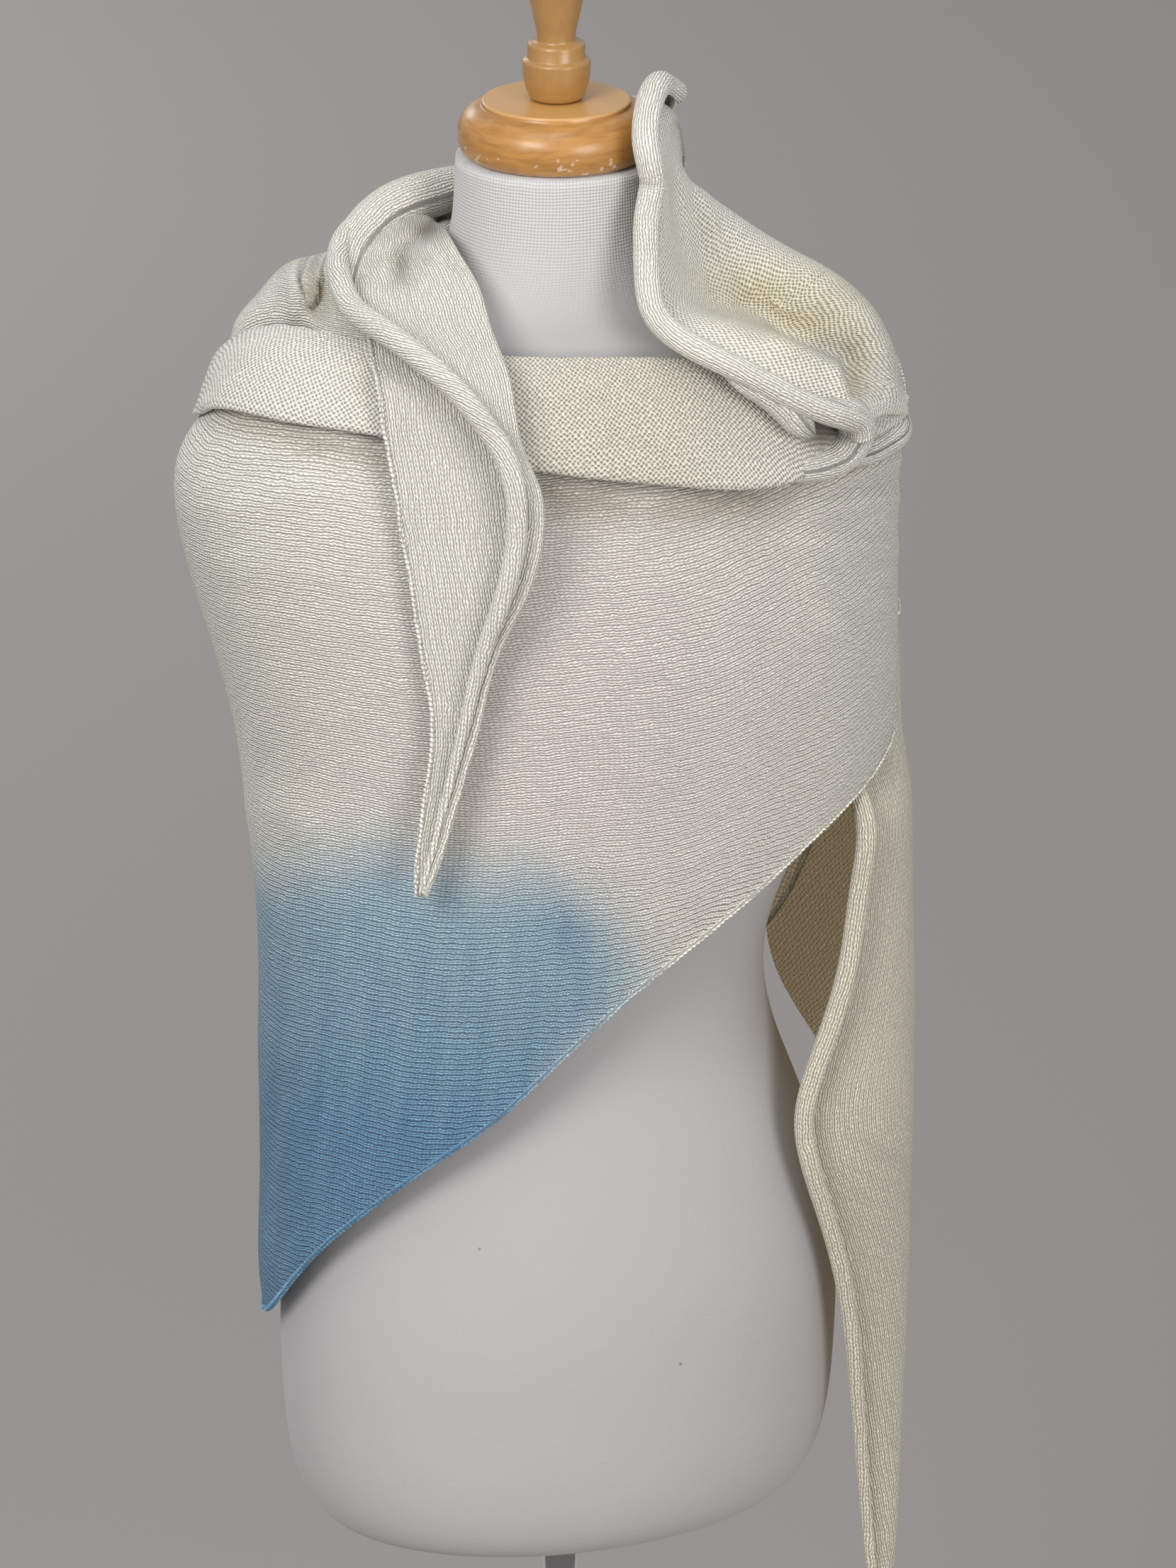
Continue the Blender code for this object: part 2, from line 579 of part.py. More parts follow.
def build_form():
    jersey = add_material("jersey", (0.83, 0.81, 0.79), 0.85)
    wood = add_material("wood", (0.62, 0.34, 0.12), 0.3)
    pale_wood = add_material("pale_wood", (0.66, 0.42, 0.19), 0.35)
    chrome = add_material("chrome", (0.75, 0.75, 0.76), 0.15, 1.0)
    dark = add_material("base_enamel", (0.55, 0.55, 0.56), 0.35, 0.8)
    add_torso(jersey)
    add_turned("neck_cap", CAP_PROFILE, 0.0, 32, wood)
    add_turned("finial", FINIAL_PROFILE, 0.0, 20, pale_wood)
    pole = ((0, BASE_RISE + SEAM_GAP), (POLE_RADIUS, BASE_RISE + SEAM_GAP),
            (POLE_RADIUS, TORSO_BOTTOM - SEAM_GAP), (0, TORSO_BOTTOM - SEAM_GAP))
    add_turned("pole", pole, POLE_X, 20, chrome)
    foot = ((0, 0), (BASE_RADIUS - 2, 0), (BASE_RADIUS, 2), (BASE_RADIUS, BASE_EDGE - 3), (BASE_RADIUS - 4, BASE_EDGE),
            (90, 20), (24, BASE_RISE), (0, BASE_RISE))
    add_turned("base", foot, POLE_X, 40, dark)


def build_wrap():
    cream = add_material("cream_knit", (0.80, 0.75, 0.62), 0.9)
    dyed = add_material("dip_dyed_knit", (0.45, 0.56, 0.64), 0.9)
    add_cloth("front_panel", front_panel_grid(30, 20), dyed)
    add_cloth("back_panel", back_panel_grid(24, 20), cream)
    add_cloth("cowl_band", band_grid(28, 21), cream)
    add_cloth("shoulder_fold", shoulder_grid(13, 8), cream)
    add_cloth("front_tail", tail_grid(24, 6), cream)
    add_cloth("tail_roll", tail_roll_grid(20, 4, 4, 6), cream)
    add_cloth("collar", collar_grid(18, 10, 5), cream)
    add_cloth("neck_back", neck_back_grid(12, 4, 4), cream)
    add_cloth("side_tail", side_grid(20, 9, 5), cream)


remove_objects()
build_form()
build_wrap()
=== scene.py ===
"""Visual model of a knitted wrap with a dip-dyed corner, worn on a limbless dress form.

Sizes in the tables are millimetres, as in the part's source. Colours are linear. The creases and
the dyed corner are placed by the photo's pixels, through the same camera that takes the render.
"""

import math

import bpy
import numpy as np
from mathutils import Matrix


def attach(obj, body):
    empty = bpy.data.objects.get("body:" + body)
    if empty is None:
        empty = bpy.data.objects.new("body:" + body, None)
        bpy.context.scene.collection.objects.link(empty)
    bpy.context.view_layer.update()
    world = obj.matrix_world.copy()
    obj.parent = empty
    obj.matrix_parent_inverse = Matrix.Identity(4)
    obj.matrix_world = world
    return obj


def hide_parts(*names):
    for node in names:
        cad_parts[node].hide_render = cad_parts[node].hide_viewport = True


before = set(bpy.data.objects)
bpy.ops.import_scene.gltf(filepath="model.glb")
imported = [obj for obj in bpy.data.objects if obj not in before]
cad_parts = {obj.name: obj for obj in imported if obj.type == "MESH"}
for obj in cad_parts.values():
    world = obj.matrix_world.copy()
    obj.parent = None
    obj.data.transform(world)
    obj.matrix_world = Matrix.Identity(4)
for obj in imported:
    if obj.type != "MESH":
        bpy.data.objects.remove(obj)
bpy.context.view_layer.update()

MM = 0.001
FORM_TURN = math.radians(20.0)
WALL = 1.6
STITCH_WIDTH = 3.2
STITCH_LENGTH = 3.1
TUBE_STEP = 1.2
TUBE_SIDES = 32
CHAIN_STEPS = 6
CHAIN_SIDES = 8
CHAIN_RADIUS = 2.1

CAMERA_X = 0.01785
CAMERA_Y = -5.0
CAMERA_Z = 2.97099
CAMERA_DOWN = math.radians(20.0)
FOCAL_PIXELS = 12967.0
PHOTO_WIDTH = 1659
PHOTO_HEIGHT = 2212
SIGHT = np.array((0, math.cos(CAMERA_DOWN), -math.sin(CAMERA_DOWN)))

POLE_RADIUS = 10.2
POLE_X = 1.0
BASE_RISE = 24.0
TORSO_BOTTOM = 700.0
NECK_TOP = 1529.7
BUST_HEIGHT = 1256.0
BUST_SPREAD = 75.0
BUST_EXTRA = 8.6

# The dress form's oval sections: height, half width, half depth and shift to the right.
TORSO = (
    (TORSO_BOTTOM, 116, 72, 1), (703, 131, 87, 1), (712, 146, 100, 1), (728, 157, 108, 1),
    (752, 164, 113, 1), (790, 168, 116, 1), (835, 169, 118, 1), (875, 166, 117, 1),
    (915, 158, 113, 0), (955, 146, 106, 0), (992, 132, 97, 0), (1030, 124, 92, 0),
    (1065, 127, 94, 0), (1110, 145, 102, 0), (1160, 158, 110, 0), (1210, 164, 118, 0),
    (1250, 166, 121, 0), (1290, 168, 118, 0), (1330, 174, 109, 0), (1365, 178, 98, 0),
    (1392, 170, 88, 0), (1415, 148, 78, 0), (1435, 118, 69, 0), (1452, 90, 63, 0),
    (1470, 69, 59, 0), (1492, 60, 57, 0), (1512, 58, 57, 0), (NECK_TOP, 57, 57, 0),
)

# Turned wooden cap and finial: radius and height above the floor, in parts that meet at a crisp step.
CAP_RIM = (
    (48, 1530), (50.5, 1530.8), (53.4, 1533), (55.4, 1538), (55.9, 1544), (54.6, 1550),
    (50.5, 1555.5), (45.5, 1558.3), (42.6, 1559.2),
)
CAP_DISC = ((42.3, 1559.6), (42.2, 1561.2), (41.9, 1561.9), (41.2, 1562.2), (40.4, 1562.2), (3, 1562.2))
FINIAL_BOWL = ((13, 1562.5), (14.8, 1563.4), (16.8, 1567), (18.6, 1573), (19.3, 1580), (19.4, 1584.2))
FINIAL_STEP = (
    (19.2, 1585.1), (18.4, 1585.8), (16.7, 1586.2), (16.3, 1586.9), (16.3, 1593.6), (16.0, 1594.8),
    (15.1, 1595.5), (11.6, 1595.9), (11.1, 1596.5),
)
FINIAL_SHAFT = (
    (10.9, 1597.4), (11.2, 1601), (12.6, 1608), (14.8, 1618), (17.4, 1629), (19.2, 1641),
    (19.0, 1650), (15.5, 1658), (9.0, 1663), (2, 1665),
)

# The worn cloth's rings: height, reach to the viewer's left and right, front and back half depths.
RINGS = (
    (795, 163, 170, 127, 125), (848, 173, 178, 128, 125), (912, 174, 186, 126, 123),
    (1003, 173, 190, 121, 118), (1094, 173, 192, 119, 117), (1148, 177, 194, 122, 119),
    (1196, 183, 196, 127, 123), (1256, 196, 197, 131, 125), (1313, 211, 197, 127, 121),
    (1357, 216, 199, 116, 112), (1376, 211, 200, 109, 106), (1392, 200, 196, 103, 102),
    (1410, 190, 189, 96, 97), (1430, 180, 176, 88, 91), (1450, 160, 151, 80, 85),
    (1466, 130, 124, 76, 81), (1490, 95, 95, 73, 77), (1520, 78, 76, 71, 73),
)

# Heights of the wings' edges round the form: angle and height.
FRONT_HEM = (
    (150, 842), (168, 840), (181, 850), (191, 870), (205, 906), (217, 934), (231, 965), (244, 993),
    (256, 1026), (267, 1055), (280, 1085), (294, 1113), (306, 1135), (316, 1149), (327, 1161),
    (342, 1174),
)
BACK_HEM = (
    (-17.6, 1246), (0, 1246), (10, 1222), (20, 1130), (30, 1052), (40, 1010), (60, 974), (90, 922),
    (120, 876), (150, 842),
)
BACK_TOP = (
    (-17.6, 1366), (-5, 1387), (-1, 1399), (4, 1416), (12, 1436), (20, 1450), (28, 1462), (38, 1474),
    (50, 1481), (90, 1483), (118, 1468), (133, 1457), (146, 1443), (150, 1437),
)

# The folded-out upper edge: angle, top and bottom heights, and how far each part stands off.
BAND = (
    (156, 1416, 1390, 7.0, 7.0, 5.0), (166, 1429, 1394, 7.0, 8.0, 5.5),
    (178, 1444, 1401, 7.5, 10.5, 8.0), (193, 1451, 1410, 8.0, 13.5, 13.0),
    (211, 1451, 1410, 8.5, 15.0, 14.5), (229, 1447, 1405, 8.5, 15.5, 15.0),
    (247, 1442, 1391, 8.5, 16.5, 16.0), (262, 1438, 1380, 9.0, 18.0, 17.0),
    (276, 1434, 1370, 9.0, 18.5, 17.0), (290, 1426, 1361, 9.0, 18.0, 16.0),
    (302, 1412, 1361, 9.0, 15.0, 14.0), (312, 1395, 1366, 7.5, 10.0, 10.0),
    (323, 1386, 1368, 7.0, 8.0, 8.0), (335, 1382, 1369, 7.0, 7.5, 6.5),
)
BAND_TUCK = 13.0
BAND_CURL = 4.0

# The shadow under it, as soft lines in the photo's pixels: from x, y to x, y, width and strength.
UNDER_BAND = (
    (300, 580, 520, 645, 20, 0.7),
    (520, 645, 720, 690, 24, 0.9),
    (740, 690, 900, 712, 34, 1.0),
    (900, 712, 1110, 706, 30, 0.9),
)

# The stretch beside the neck: rolled edge, swell, hollow, ridge and back edge.
COLLAR = (
    ((61, 34, 1549), (66, 39, 1542), (69, 43, 1532), (71, 48, 1519), (72, 53, 1503)),
    ((58, 10, 1557), (64, 17, 1551), (69, 25, 1542), (71, 33, 1530), (73, 43, 1512)),
    ((48, -26, 1561), (57, -18, 1557), (64, -5, 1550), (68, 14, 1540), (71, 36, 1518)),
    ((46, -44, 1549), (55, -34, 1548), (63, -11, 1541), (68, 14, 1533), (71, 38, 1513)),
    ((49, -49, 1531), (58, -38, 1527), (66, -1, 1515), (73, 28, 1510), (75, 50, 1492)),
    ((47, -55, 1511), (58, -45, 1506), (74, 2, 1492), (96, 38, 1487), (96, 60, 1470)),
    ((46, -66, 1485), (59, -53, 1479), (89, -4, 1467), (118, 44, 1470), (121, 66, 1453)),
    ((51, -79, 1459), (67, -63, 1458), (104, -13, 1453), (137, 46, 1458), (141, 68, 1440)),
    ((72, -89, 1442), (90, -69, 1449), (123, -18, 1445), (157, 44, 1447), (162, 66, 1427)),
    ((104, -90, 1427), (119, -69, 1439), (145, -24, 1436), (178, 38, 1430), (183, 58, 1409)),
    ((134, -80, 1409), (147, -61, 1423), (163, -26, 1422), (189, 30, 1413), (192, 50, 1392)),
    ((156, -65, 1396), (165, -50, 1405), (173, -26, 1406), (196, 22, 1394), (198, 42, 1377)),
    ((164, -57, 1390), (172, -43, 1394), (180, -24, 1394), (198, 14, 1385), (199, 33, 1376)),
    ((168, -53, 1379), (176, -38, 1381), (184, -20, 1381), (200, 14, 1371), (200.5, 33, 1363)),
)
# For each of those rows, how far the hollow is sunk and the lip beyond it is raised.
COLLAR_RELIEF = (
    (0, 0), (0, 0), (0, 0), (0, 0), (3, 2), (8, 4), (14, 7), (18, 10), (20, 13), (19, 14), (16, 14),
    (10, 11), (5, 7), (0, 2),
)
COLLAR_ROLL = 8.2
ROLL_TURN = math.radians(300)
ROLL_TIGHTENING = 0.42
TAIL_ROLL_RADIUS = ((0, 0.09, 0.2, 0.33, 0.6, 0.72, 0.86, 1), (5.0, 6.0, 7.6, 7.8, 6.6, 5.0, 2.6, 1.2))
TAIL_ROLL_TURN = ((0, 0.1, 0.25, 0.6, 0.75, 1), (150, 170, 290, 300, 240, 200))

# The fold over the left shoulder: front lip, brow, crest and back.
SHOULDER = (
    ((-182.7, -25, 1408), (-184.7, -14, 1410), (-184.7, -2, 1408), (-181.4, 12, 1402)),
    ((-176, -30, 1425), (-180, -22, 1434), (-181, -8, 1434), (-177, 9, 1424)),
    ((-164, -37, 1433), (-168, -29, 1449), (-169, -14, 1451), (-164, 12, 1439)),
    ((-150, -45, 1437), (-156, -35, 1459), (-157, -18, 1465), (-151, 20, 1450)),
    ((-138, -53, 1438), (-146, -41, 1464), (-145, -18, 1471), (-138, 26, 1457)),
    ((-133, -65, 1439), (-136, -46, 1456), (-135, -19, 1469), (-126, 32, 1463)),
    ((-127, -76, 1441), (-126, -50, 1456), (-124, -20, 1469), (-113, 38, 1468)),
    ((-112, -84, 1441), (-112, -54, 1458), (-110, -22, 1468), (-98, 44, 1471)),
    ((-97, -90, 1441), (-97, -58, 1459), (-95, -26, 1467), (-84, 48, 1472)),
)

# The short free end: the rolled edge, the folded edge and the loose edge beneath.
TAIL = (
    ((-48, 60, 1486), (-61, 54, 1476), (-58, 56, 1484)),
    ((-66, 42, 1487), (-64, 32, 1478), (-64, 38, 1476)),
    ((-84, 22, 1491), (-64, 0, 1485), (-84, 4, 1476)),
    ((-101, 2, 1490), (-61, -34, 1490), (-95, -18, 1477)),
    ((-115, -20, 1485), (-59, -48, 1489), (-102, -36, 1471)),
    ((-121, -46, 1478), (-55, -60, 1484), (-106, -54, 1463)),
    ((-119, -78, 1471), (-47, -76, 1473), (-107, -82, 1462)),
    ((-110, -106, 1462), (-41, -98, 1459), (-103, -106, 1448.5)),
    ((-93, -130, 1457), (-35, -116, 1448), (-100, -123, 1438)),
    ((-75, -146, 1448), (-30, -130, 1437), (-97, -134, 1429)),
    ((-56, -156, 1434), (-27, -141, 1422), (-95, -139, 1412)),
    ((-38, -160, 1413), (-22, -148, 1404), (-92, -141, 1396)),
    ((-26, -165, 1387), (-13, -156, 1382), (-88, -145, 1372)),
    ((-24, -166, 1360), (-12, -160, 1358), (-85, -147, 1352)),
    ((-28, -167, 1334), (-17, -162, 1332), (-81, -150, 1329)),
    ((-41, -162, 1291), (-35, -160, 1289), (-75, -152, 1287)),
    ((-51, -160, 1249), (-45, -158, 1247), (-69, -152, 1245)),
    ((-62, -156, 1201), (-57, -154, 1199), (-73, -150, 1198)),
    ((-72, -152, 1158), (-68.5, -151, 1156), (-78, -148, 1156)),
    ((-76.5, -150, 1140), (-75, -149.5, 1139), (-78.5, -148.5, 1138)),
)

# The long free end, folded in two: height, rolled edge, middle, outer fold, behind and back edge.
SIDE = (
    (1242, (166, 14), (182, 32), (196, 51), (193, 77), (179, 102)),
    (1200, (163, 9), (182, 30), (198.5, 52), (191, 82), (168, 111)),
    (1168, (159.8, 5), (180.3, 25.3), (200, 51), (190, 84), (160, 115)),
    (1140, (173, -11), (191, 8), (205, 44), (189, 86), (152, 119)),
    (1103, (173, -17), (194, 3), (207, 40), (186, 88), (140, 123)),
    (1050, (166, -24), (191, -4), (208, 37), (180, 88), (127, 127)),
    (1012, (156, -30), (187, -10), (209, 35), (177, 84), (125, 124)),
    (985, (147, -36), (183, -16), (209, 33), (180, 78), (134, 112)),
    (960, (142, -40), (181, -20), (209, 31), (188, 70), (152, 92)),
    (935, (145, -40), (183, -19), (209, 30), (195, 58), (168, 72)),
    (895, (156, -33), (187, -14), (208, 28), (198, 48), (176, 58)),
    (840, (168, -22), (191, -7), (207, 25), (198, 40), (180, 46)),
    (770, (176, -9), (194, 1), (205, 22), (198, 32), (184, 36)),
    (700, (182, 0), (195, 6), (203, 18), (198, 25), (188, 28)),
    (640, (188, 4), (195, 7), (200, 14), (198, 19), (192, 21)),
    (606, (192, 6), (195, 7), (197, 11), (196, 14), (193, 15)),
)
SIDE_ROLL = 6.5

# Behind the neck: rolled upper edge, middle and lower seam, from the right round to the left.
NECK_BACK = (
    ((60, 35.5, 1548.4), (68, 44.5, 1531), (72, 54.5, 1502)),
    ((53, 52, 1538), (58, 62, 1514), (64, 74, 1487)),
    ((32, 70, 1531), (34, 80, 1505), (36, 88, 1478)),
    ((0, 76, 1519), (0, 85, 1494), (0, 92, 1468)),
    ((-28, 72, 1509), (-33, 80, 1484), (-38, 87, 1460)),
    ((-46, 60, 1497), (-56, 70, 1474), (-63, 76, 1450)),
    ((-60, 46, 1489), (-72, 50, 1467), (-84, 52, 1446)),
)

# Tubes of x, y, z and radius: the turned end beside the folded edge, the twist over the right shoulder.
CURL = (
    (150, -66, 1406, 5.0), (160, -57, 1398, 8.5), (167, -47, 1389, 10.5), (169.5, -41, 1379, 11.0),
    (165, -43, 1369, 11.0), (153.6, -53, 1364, 10.0), (136, -66, 1364, 8.0), (116, -74, 1368, 4.0),
)
TWIST = (
    (158, -44, 1362, 5.0), (174, -31, 1361, 6.5), (187, -13, 1361.5, 7.0), (196.5, 8, 1363, 6.5),
    (197, 32, 1367, 4.0),
)

# The collar's lower roll end, the roll beside the neck on the left and the filling under it.
ROLL_END = (
    (92, -92, 1435, 5.0), (106, -91, 1425, 8.0), (120, -87, 1415, 9.0), (132, -82, 1403, 9.5),
    (139, -78, 1393, 7.5), (146, -73, 1386, 2.0),
)
NECK_ROLL = (
    (-28, 70, 1496, 9.0), (-46, 62, 1495, 11.5), (-60, 50, 1495, 13.0), (-80, 26, 1496, 14.0),
    (-95, 5, 1495, 14.0), (-107, -13, 1489, 13.5), (-115, -31, 1481, 12.5), (-118, -53, 1473, 10.5),
    (-115, -80, 1465, 7.0), (-110, -98, 1460, 4.0),
)
NECK_TUCK = ((-50, 56, 1470, 6.0), (-62, 36, 1473, 7.5), (-68, 14, 1474, 7.5), (-70, -6, 1472, 5.5))

# Folds as soft ridges in the photo's pixels: from x, y to x, y, width and height.
PANEL_CREASES = (
    (1150, 690, 1275, 640, 13, 3.0),
    (1120, 720, 1272, 700, 16, 2.6),
    (1110, 760, 1266, 775, 18, 2.2),
    (1125, 810, 1262, 858, 18, 2.0),
    (1150, 860, 1262, 940, 20, 1.8),
    (330, 640, 520, 600, 26, 2.0),
    (290, 720, 470, 690, 24, 1.6),
    (300, 800, 450, 812, 22, 1.2),
    (350, 1120, 470, 1180, 30, 1.6),
    (380, 1500, 520, 1440, 34, 1.5),
    (700, 700, 1000, 712, 16, 1.5),
)
COLLAR_CREASES = (
    (1030, 418, 1120, 455, 13, -4.0),
    (1090, 450, 1205, 502, 12, -7.0),
    (1196, 494, 1216, 575, 10, -7.0),
    (1080, 478, 1175, 522, 14, 3.5),
    (1170, 515, 1196, 580, 11, 3.5),
    (955, 235, 975, 400, 7, 1.4),
    (972, 250, 1005, 420, 7, -1.4),
    (990, 270, 1030, 400, 7, 1.2),
)
SHOULDER_CREASES = (
    (452, 385, 446, 450, 13, -3.5),
    (425, 380, 415, 455, 11, 2.5),
    (474, 380, 470, 450, 9, 2.0),
)
POCKET_CREASES = (
    (620, 308, 574, 350, 11, -9.0),
    (582, 344, 548, 405, 13, -5.0),
    (640, 330, 585, 420, 14, 4.0),
    (520, 330, 500, 420, 16, -2.0),
)

# Soft spots of colour in the photo's pixels: x, y and the reach each way. All but the thin spot and the
# dye spot are painted shade.
THIN_SPOT = (780, 980, 330, 330)
DYE_SPOT = (805, 1300, 40, 50)
BAND_SHADE = (1162, 604, 30, 24)
COLLAR_HOLLOW_SHADE = ((1060, 410, 60, 34), (1140, 455, 60, 30), (1210, 520, 18, 46))
COLLAR_END_SHADE = (1190, 490, 50, 26)
COLLAR_SHADE = (1150, 420, 120, 80)
SHOULDER_SHADE = (450, 415, 17, 32)
POCKET_SHADE = (600, 325, 26, 16)
POCKET_END_SHADE = (565, 370, 14, 26)

# The dye's borders in pixels: its top, which falls to the right and has a crest, and its right side.
DYE_TOP = 1214
DYE_TURN = 600
DYE_FALL = 0.14
DYE_CREST = 560
DYE_CREST_WIDTH = 110
DYE_CREST_HEIGHT = 14
DYE_RIGHT = ((1200, 810), (1252, 850), (1318, 888), (1364, 900), (1415, 885), (1466, 850), (1700, 720))
DYE_TOP_BLUR = (-78, 92)
DYE_RIGHT_BLUR = (-75, 80)
DEEP_X = 520
DEEP_Y = 1275

# Where the dye meets the left fold and goes on round the back.
SEAM_PIXEL = 366
SEAM_ANGLE = 150
SEAM_VIEW_ANGLE = 155.0
PIXELS_A_DEGREE = 6.5

# The gaps between stitches darken away from one pixel column and down over these pixel rows. The
# band looks thinner from the first pair of pixel columns to the second.
GAP_CENTRE = 740
GAP_REACH = 330
GAP_LOW = (1150, 1350)
BAND_THINS = (420, 860)
BAND_THICKENS = (940, 1120)

# How finely each stretch is divided: along it, across it, and round its fold or roll.
FRONT_MESH = (290, 160)
BACK_MESH = (210, 150)
BAND_MESH = (240, 90)
SHOULDER_MESH = (90, 60)
TAIL_MESH = (200, 50)
TAIL_ROLL_MESH = (200, 40, 12, 36)
COLLAR_MESH = (200, 110, 40)
NECK_MESH = (110, 30, 24)
SIDE_MESH = (280, 80, 30)

# Columns: the one that the band's stitches follow, the first that is lit inside the long end, and
# how many a crease fades over beside a roll.
BAND_MIDDLE = 60
SIDE_INNER = 34
ROLL_FADE = 8

CREAM = np.array((0.88, 0.86, 0.765))
SHEER = np.array((0.83, 0.775, 0.715))
# Tan for painted shade in hollows, creases and pockets.
SHADE_TAN = np.array((0.72, 0.65, 0.49))
BAND_TONE = np.array((0.66, 0.625, 0.53))
# Warm tint on the inner faces: painted light that comes through the thin wool.
INNER_LIGHT_TINT = np.array((1.04, 0.90, 0.74))
SIDE_TONE = np.array((0.86, 0.82, 0.74))
BLUE_PALE = np.array((0.37, 0.54, 0.65))
BLUE_DEEP = np.array((0.125, 0.295, 0.475))

# Folds down the back wing, as angles: start, lean from hem to top and width, then height.
BACK_FOLDS = ((70, 40, 9, 2.2), (112, 22, 8, 1.8), (30, 55, 10, 1.6))

FLOOR_REACH = 30

# Lights: name, place, target, size, power and colour, in metres and watts.
LIGHTS = (
    ("window", (-2.3, -3.9, 4.1), (0, 0, 1.2), 2.4, 156, (1.0, 0.985, 0.965)),
    ("ceiling", (-0.4, -1.0, 4.8), (0, 0, 1.2), 2.2, 28, (1.0, 0.99, 0.98)),
    ("fill", (2.9, -4.1, 2.4), (0, 0, 1.1), 2.4, 102, (1.0, 0.98, 0.96)),
    ("far_floor", (-2.5, 5.5, 3.2), (-2.5, 5.5, 0), 2.0, 80, (1.0, 0.98, 0.97)),
)


def smooth(knots, rows, places):
    """Natural cubic spline through rows at knots, read at places."""
    knots = np.asarray(knots, float)
    rows = np.asarray(rows, float)
    places = np.asarray(places, float)
    shape = rows.shape
    rows = rows.reshape(len(knots), -1)
    step = np.diff(knots)
    slope = np.diff(rows, axis=0) / step[:, None]
    system = np.eye(len(knots))
    right = np.zeros_like(rows)
    for i in range(1, len(knots) - 1):
        system[i, i - 1:i + 2] = step[i - 1], 2 * (step[i - 1] + step[i]), step[i]
        right[i] = 6 * (slope[i] - slope[i - 1])
    bend = np.linalg.solve(system, right)
    flat = places.reshape(-1)
    low = np.clip(np.searchsorted(knots, flat, side="right") - 1, 0, len(knots) - 2)
    gap = step[low][:, None]
    before = (knots[low + 1] - flat)[:, None] / gap
    after = 1 - before
    bent = (before ** 3 - before) * bend[low] + (after ** 3 - after) * bend[low + 1]
    value = before * rows[low] + after * rows[low + 1] + bent * gap ** 2 / 6
    return value.reshape(places.shape + shape[1:])


def column_at(table, places):
    """Every column but the first of a table, read at places of the first."""
    return smooth([row[0] for row in table], [row[1:] for row in table], places)


def turned(x, y):
    c = math.cos(FORM_TURN)
    s = math.sin(FORM_TURN)
    return x * c - y * s, x * s + y * c


def oval(half_width, half_depth, angle, out=0.0):
    """A point of an ellipse, moved out along its normal."""
    c = np.cos(np.radians(angle))
    s = np.sin(np.radians(angle))
    normal = np.hypot(half_depth * c, half_width * s)
    x = half_width * c + out * half_depth * c / normal
    y = half_depth * s + out * half_width * s / normal
    return x, y


def ring_point(angle, height, out=0.0):
    """A point of the worn cloth's ring at a height and angle, moved out."""
    items = (np.asarray(item, float) for item in (angle, height, out))
    angle, height, out = np.broadcast_arrays(*items)
    left, right, front, back = np.moveaxis(column_at(RINGS, height), -1, 0)
    c = np.cos(np.radians(angle))
    s = np.sin(np.radians(angle))
    lean = math.sin(FORM_TURN)
    wide_left = np.sqrt(left ** 2 - (back * lean) ** 2) / math.cos(FORM_TURN)
    wide_right = np.sqrt(right ** 2 - (front * lean) ** 2) / math.cos(FORM_TURN)
    x, y = oval(np.where(c > 0, wide_right, wide_left), np.where(s > 0, back, front), angle, out)
    x, y = turned(x, y)
    return np.stack([x, y, height], -1)


def unit(vectors):
    return vectors / np.maximum(np.linalg.norm(vectors, axis=-1, keepdims=True), 1e-9)


def normals(grid):
    along = np.gradient(grid, axis=0)
    across = np.gradient(grid, axis=1)
    return unit(np.cross(along, across))


def chord_knots(points):
    steps = np.linalg.norm(np.diff(points, axis=0), axis=-1)
    return np.concatenate([[0.0], np.cumsum(steps)])


def shares(count):
    """Even steps from 0 to 1."""
    return np.linspace(0, 1, count)


def evenly(points, knots, count):
    """Points of a spline at even places along it."""
    return smooth(knots, points, np.linspace(0, knots[-1], count))


def along_rows(table, count):
    """A table of named points, read at count even stations along its length."""
    points = np.asarray(table, float)
    return evenly(points, chord_knots(points.mean(axis=1)), count)


def across_columns(stations, count):
    """Each station's points joined by a smooth curve with count points."""
    return np.array([evenly(points, chord_knots(points), count) for points in stations])


def square_to(vectors, others):
    """The part of each vector that is square to its other."""
    return unit(vectors - (vectors * others).sum(-1, keepdims=True) * others)


def eased(vectors, times):
    """Directions along a path, evened out with their neighbours."""
    for _ in range(times):
        ahead = np.concatenate([vectors[1:], vectors[-1:]])
        behind = np.concatenate([vectors[:1], vectors[:-1]])
        vectors = unit(behind + 2 * vectors + ahead)
    return vectors


def roll_points(edge, outward, towards, radius, turn, count):
    """A rolled edge that leaves the sheet at edge, goes outward and curls towards a side."""
    path = unit(np.gradient(edge, axis=0))
    outward = square_to(outward, path)
    facing = np.cross(path, outward)
    side = np.sign((facing * towards).sum(-1, keepdims=True))
    facing = (facing * side)[:, None]
    share = shares(count + 1)[1:]
    angles = np.reshape(turn, (-1, 1)) * share
    radius = np.reshape(radius, (-1, 1, 1))
    reach = radius * (1 - ROLL_TIGHTENING * share)[None, :, None]
    swing = np.sin(angles)[:, :, None] * outward[:, None]
    lift = -np.cos(angles)[:, :, None] * facing
    return edge[:, None] + radius * facing + reach * (swing + lift)


def band_tuck(angles):
    """How far the front wing goes up behind the folded edge."""
    top, bottom = np.moveaxis(column_at(BAND, np.clip(angles, BAND[0][0], BAND[-1][0])), -1, 0)[:2]
    return np.minimum(BAND_TUCK, 0.4 * (top - bottom)), bottom


def wing_grid(angles, hem, top, rows):
    """A wing of the wrap, in even rows from its hem to its top."""
    share = shares(rows)[:, None]
    return ring_point(angles[None, :], hem[None, :] + share * (top - hem)[None, :])


def front_panel_grid(across, up):
    angles = np.linspace(FRONT_HEM[0][0], FRONT_HEM[-1][0], across)
    tuck, bottom = band_tuck(angles)
    return wing_grid(angles, column_at(FRONT_HEM, angles)[:, 0], bottom + tuck, up)


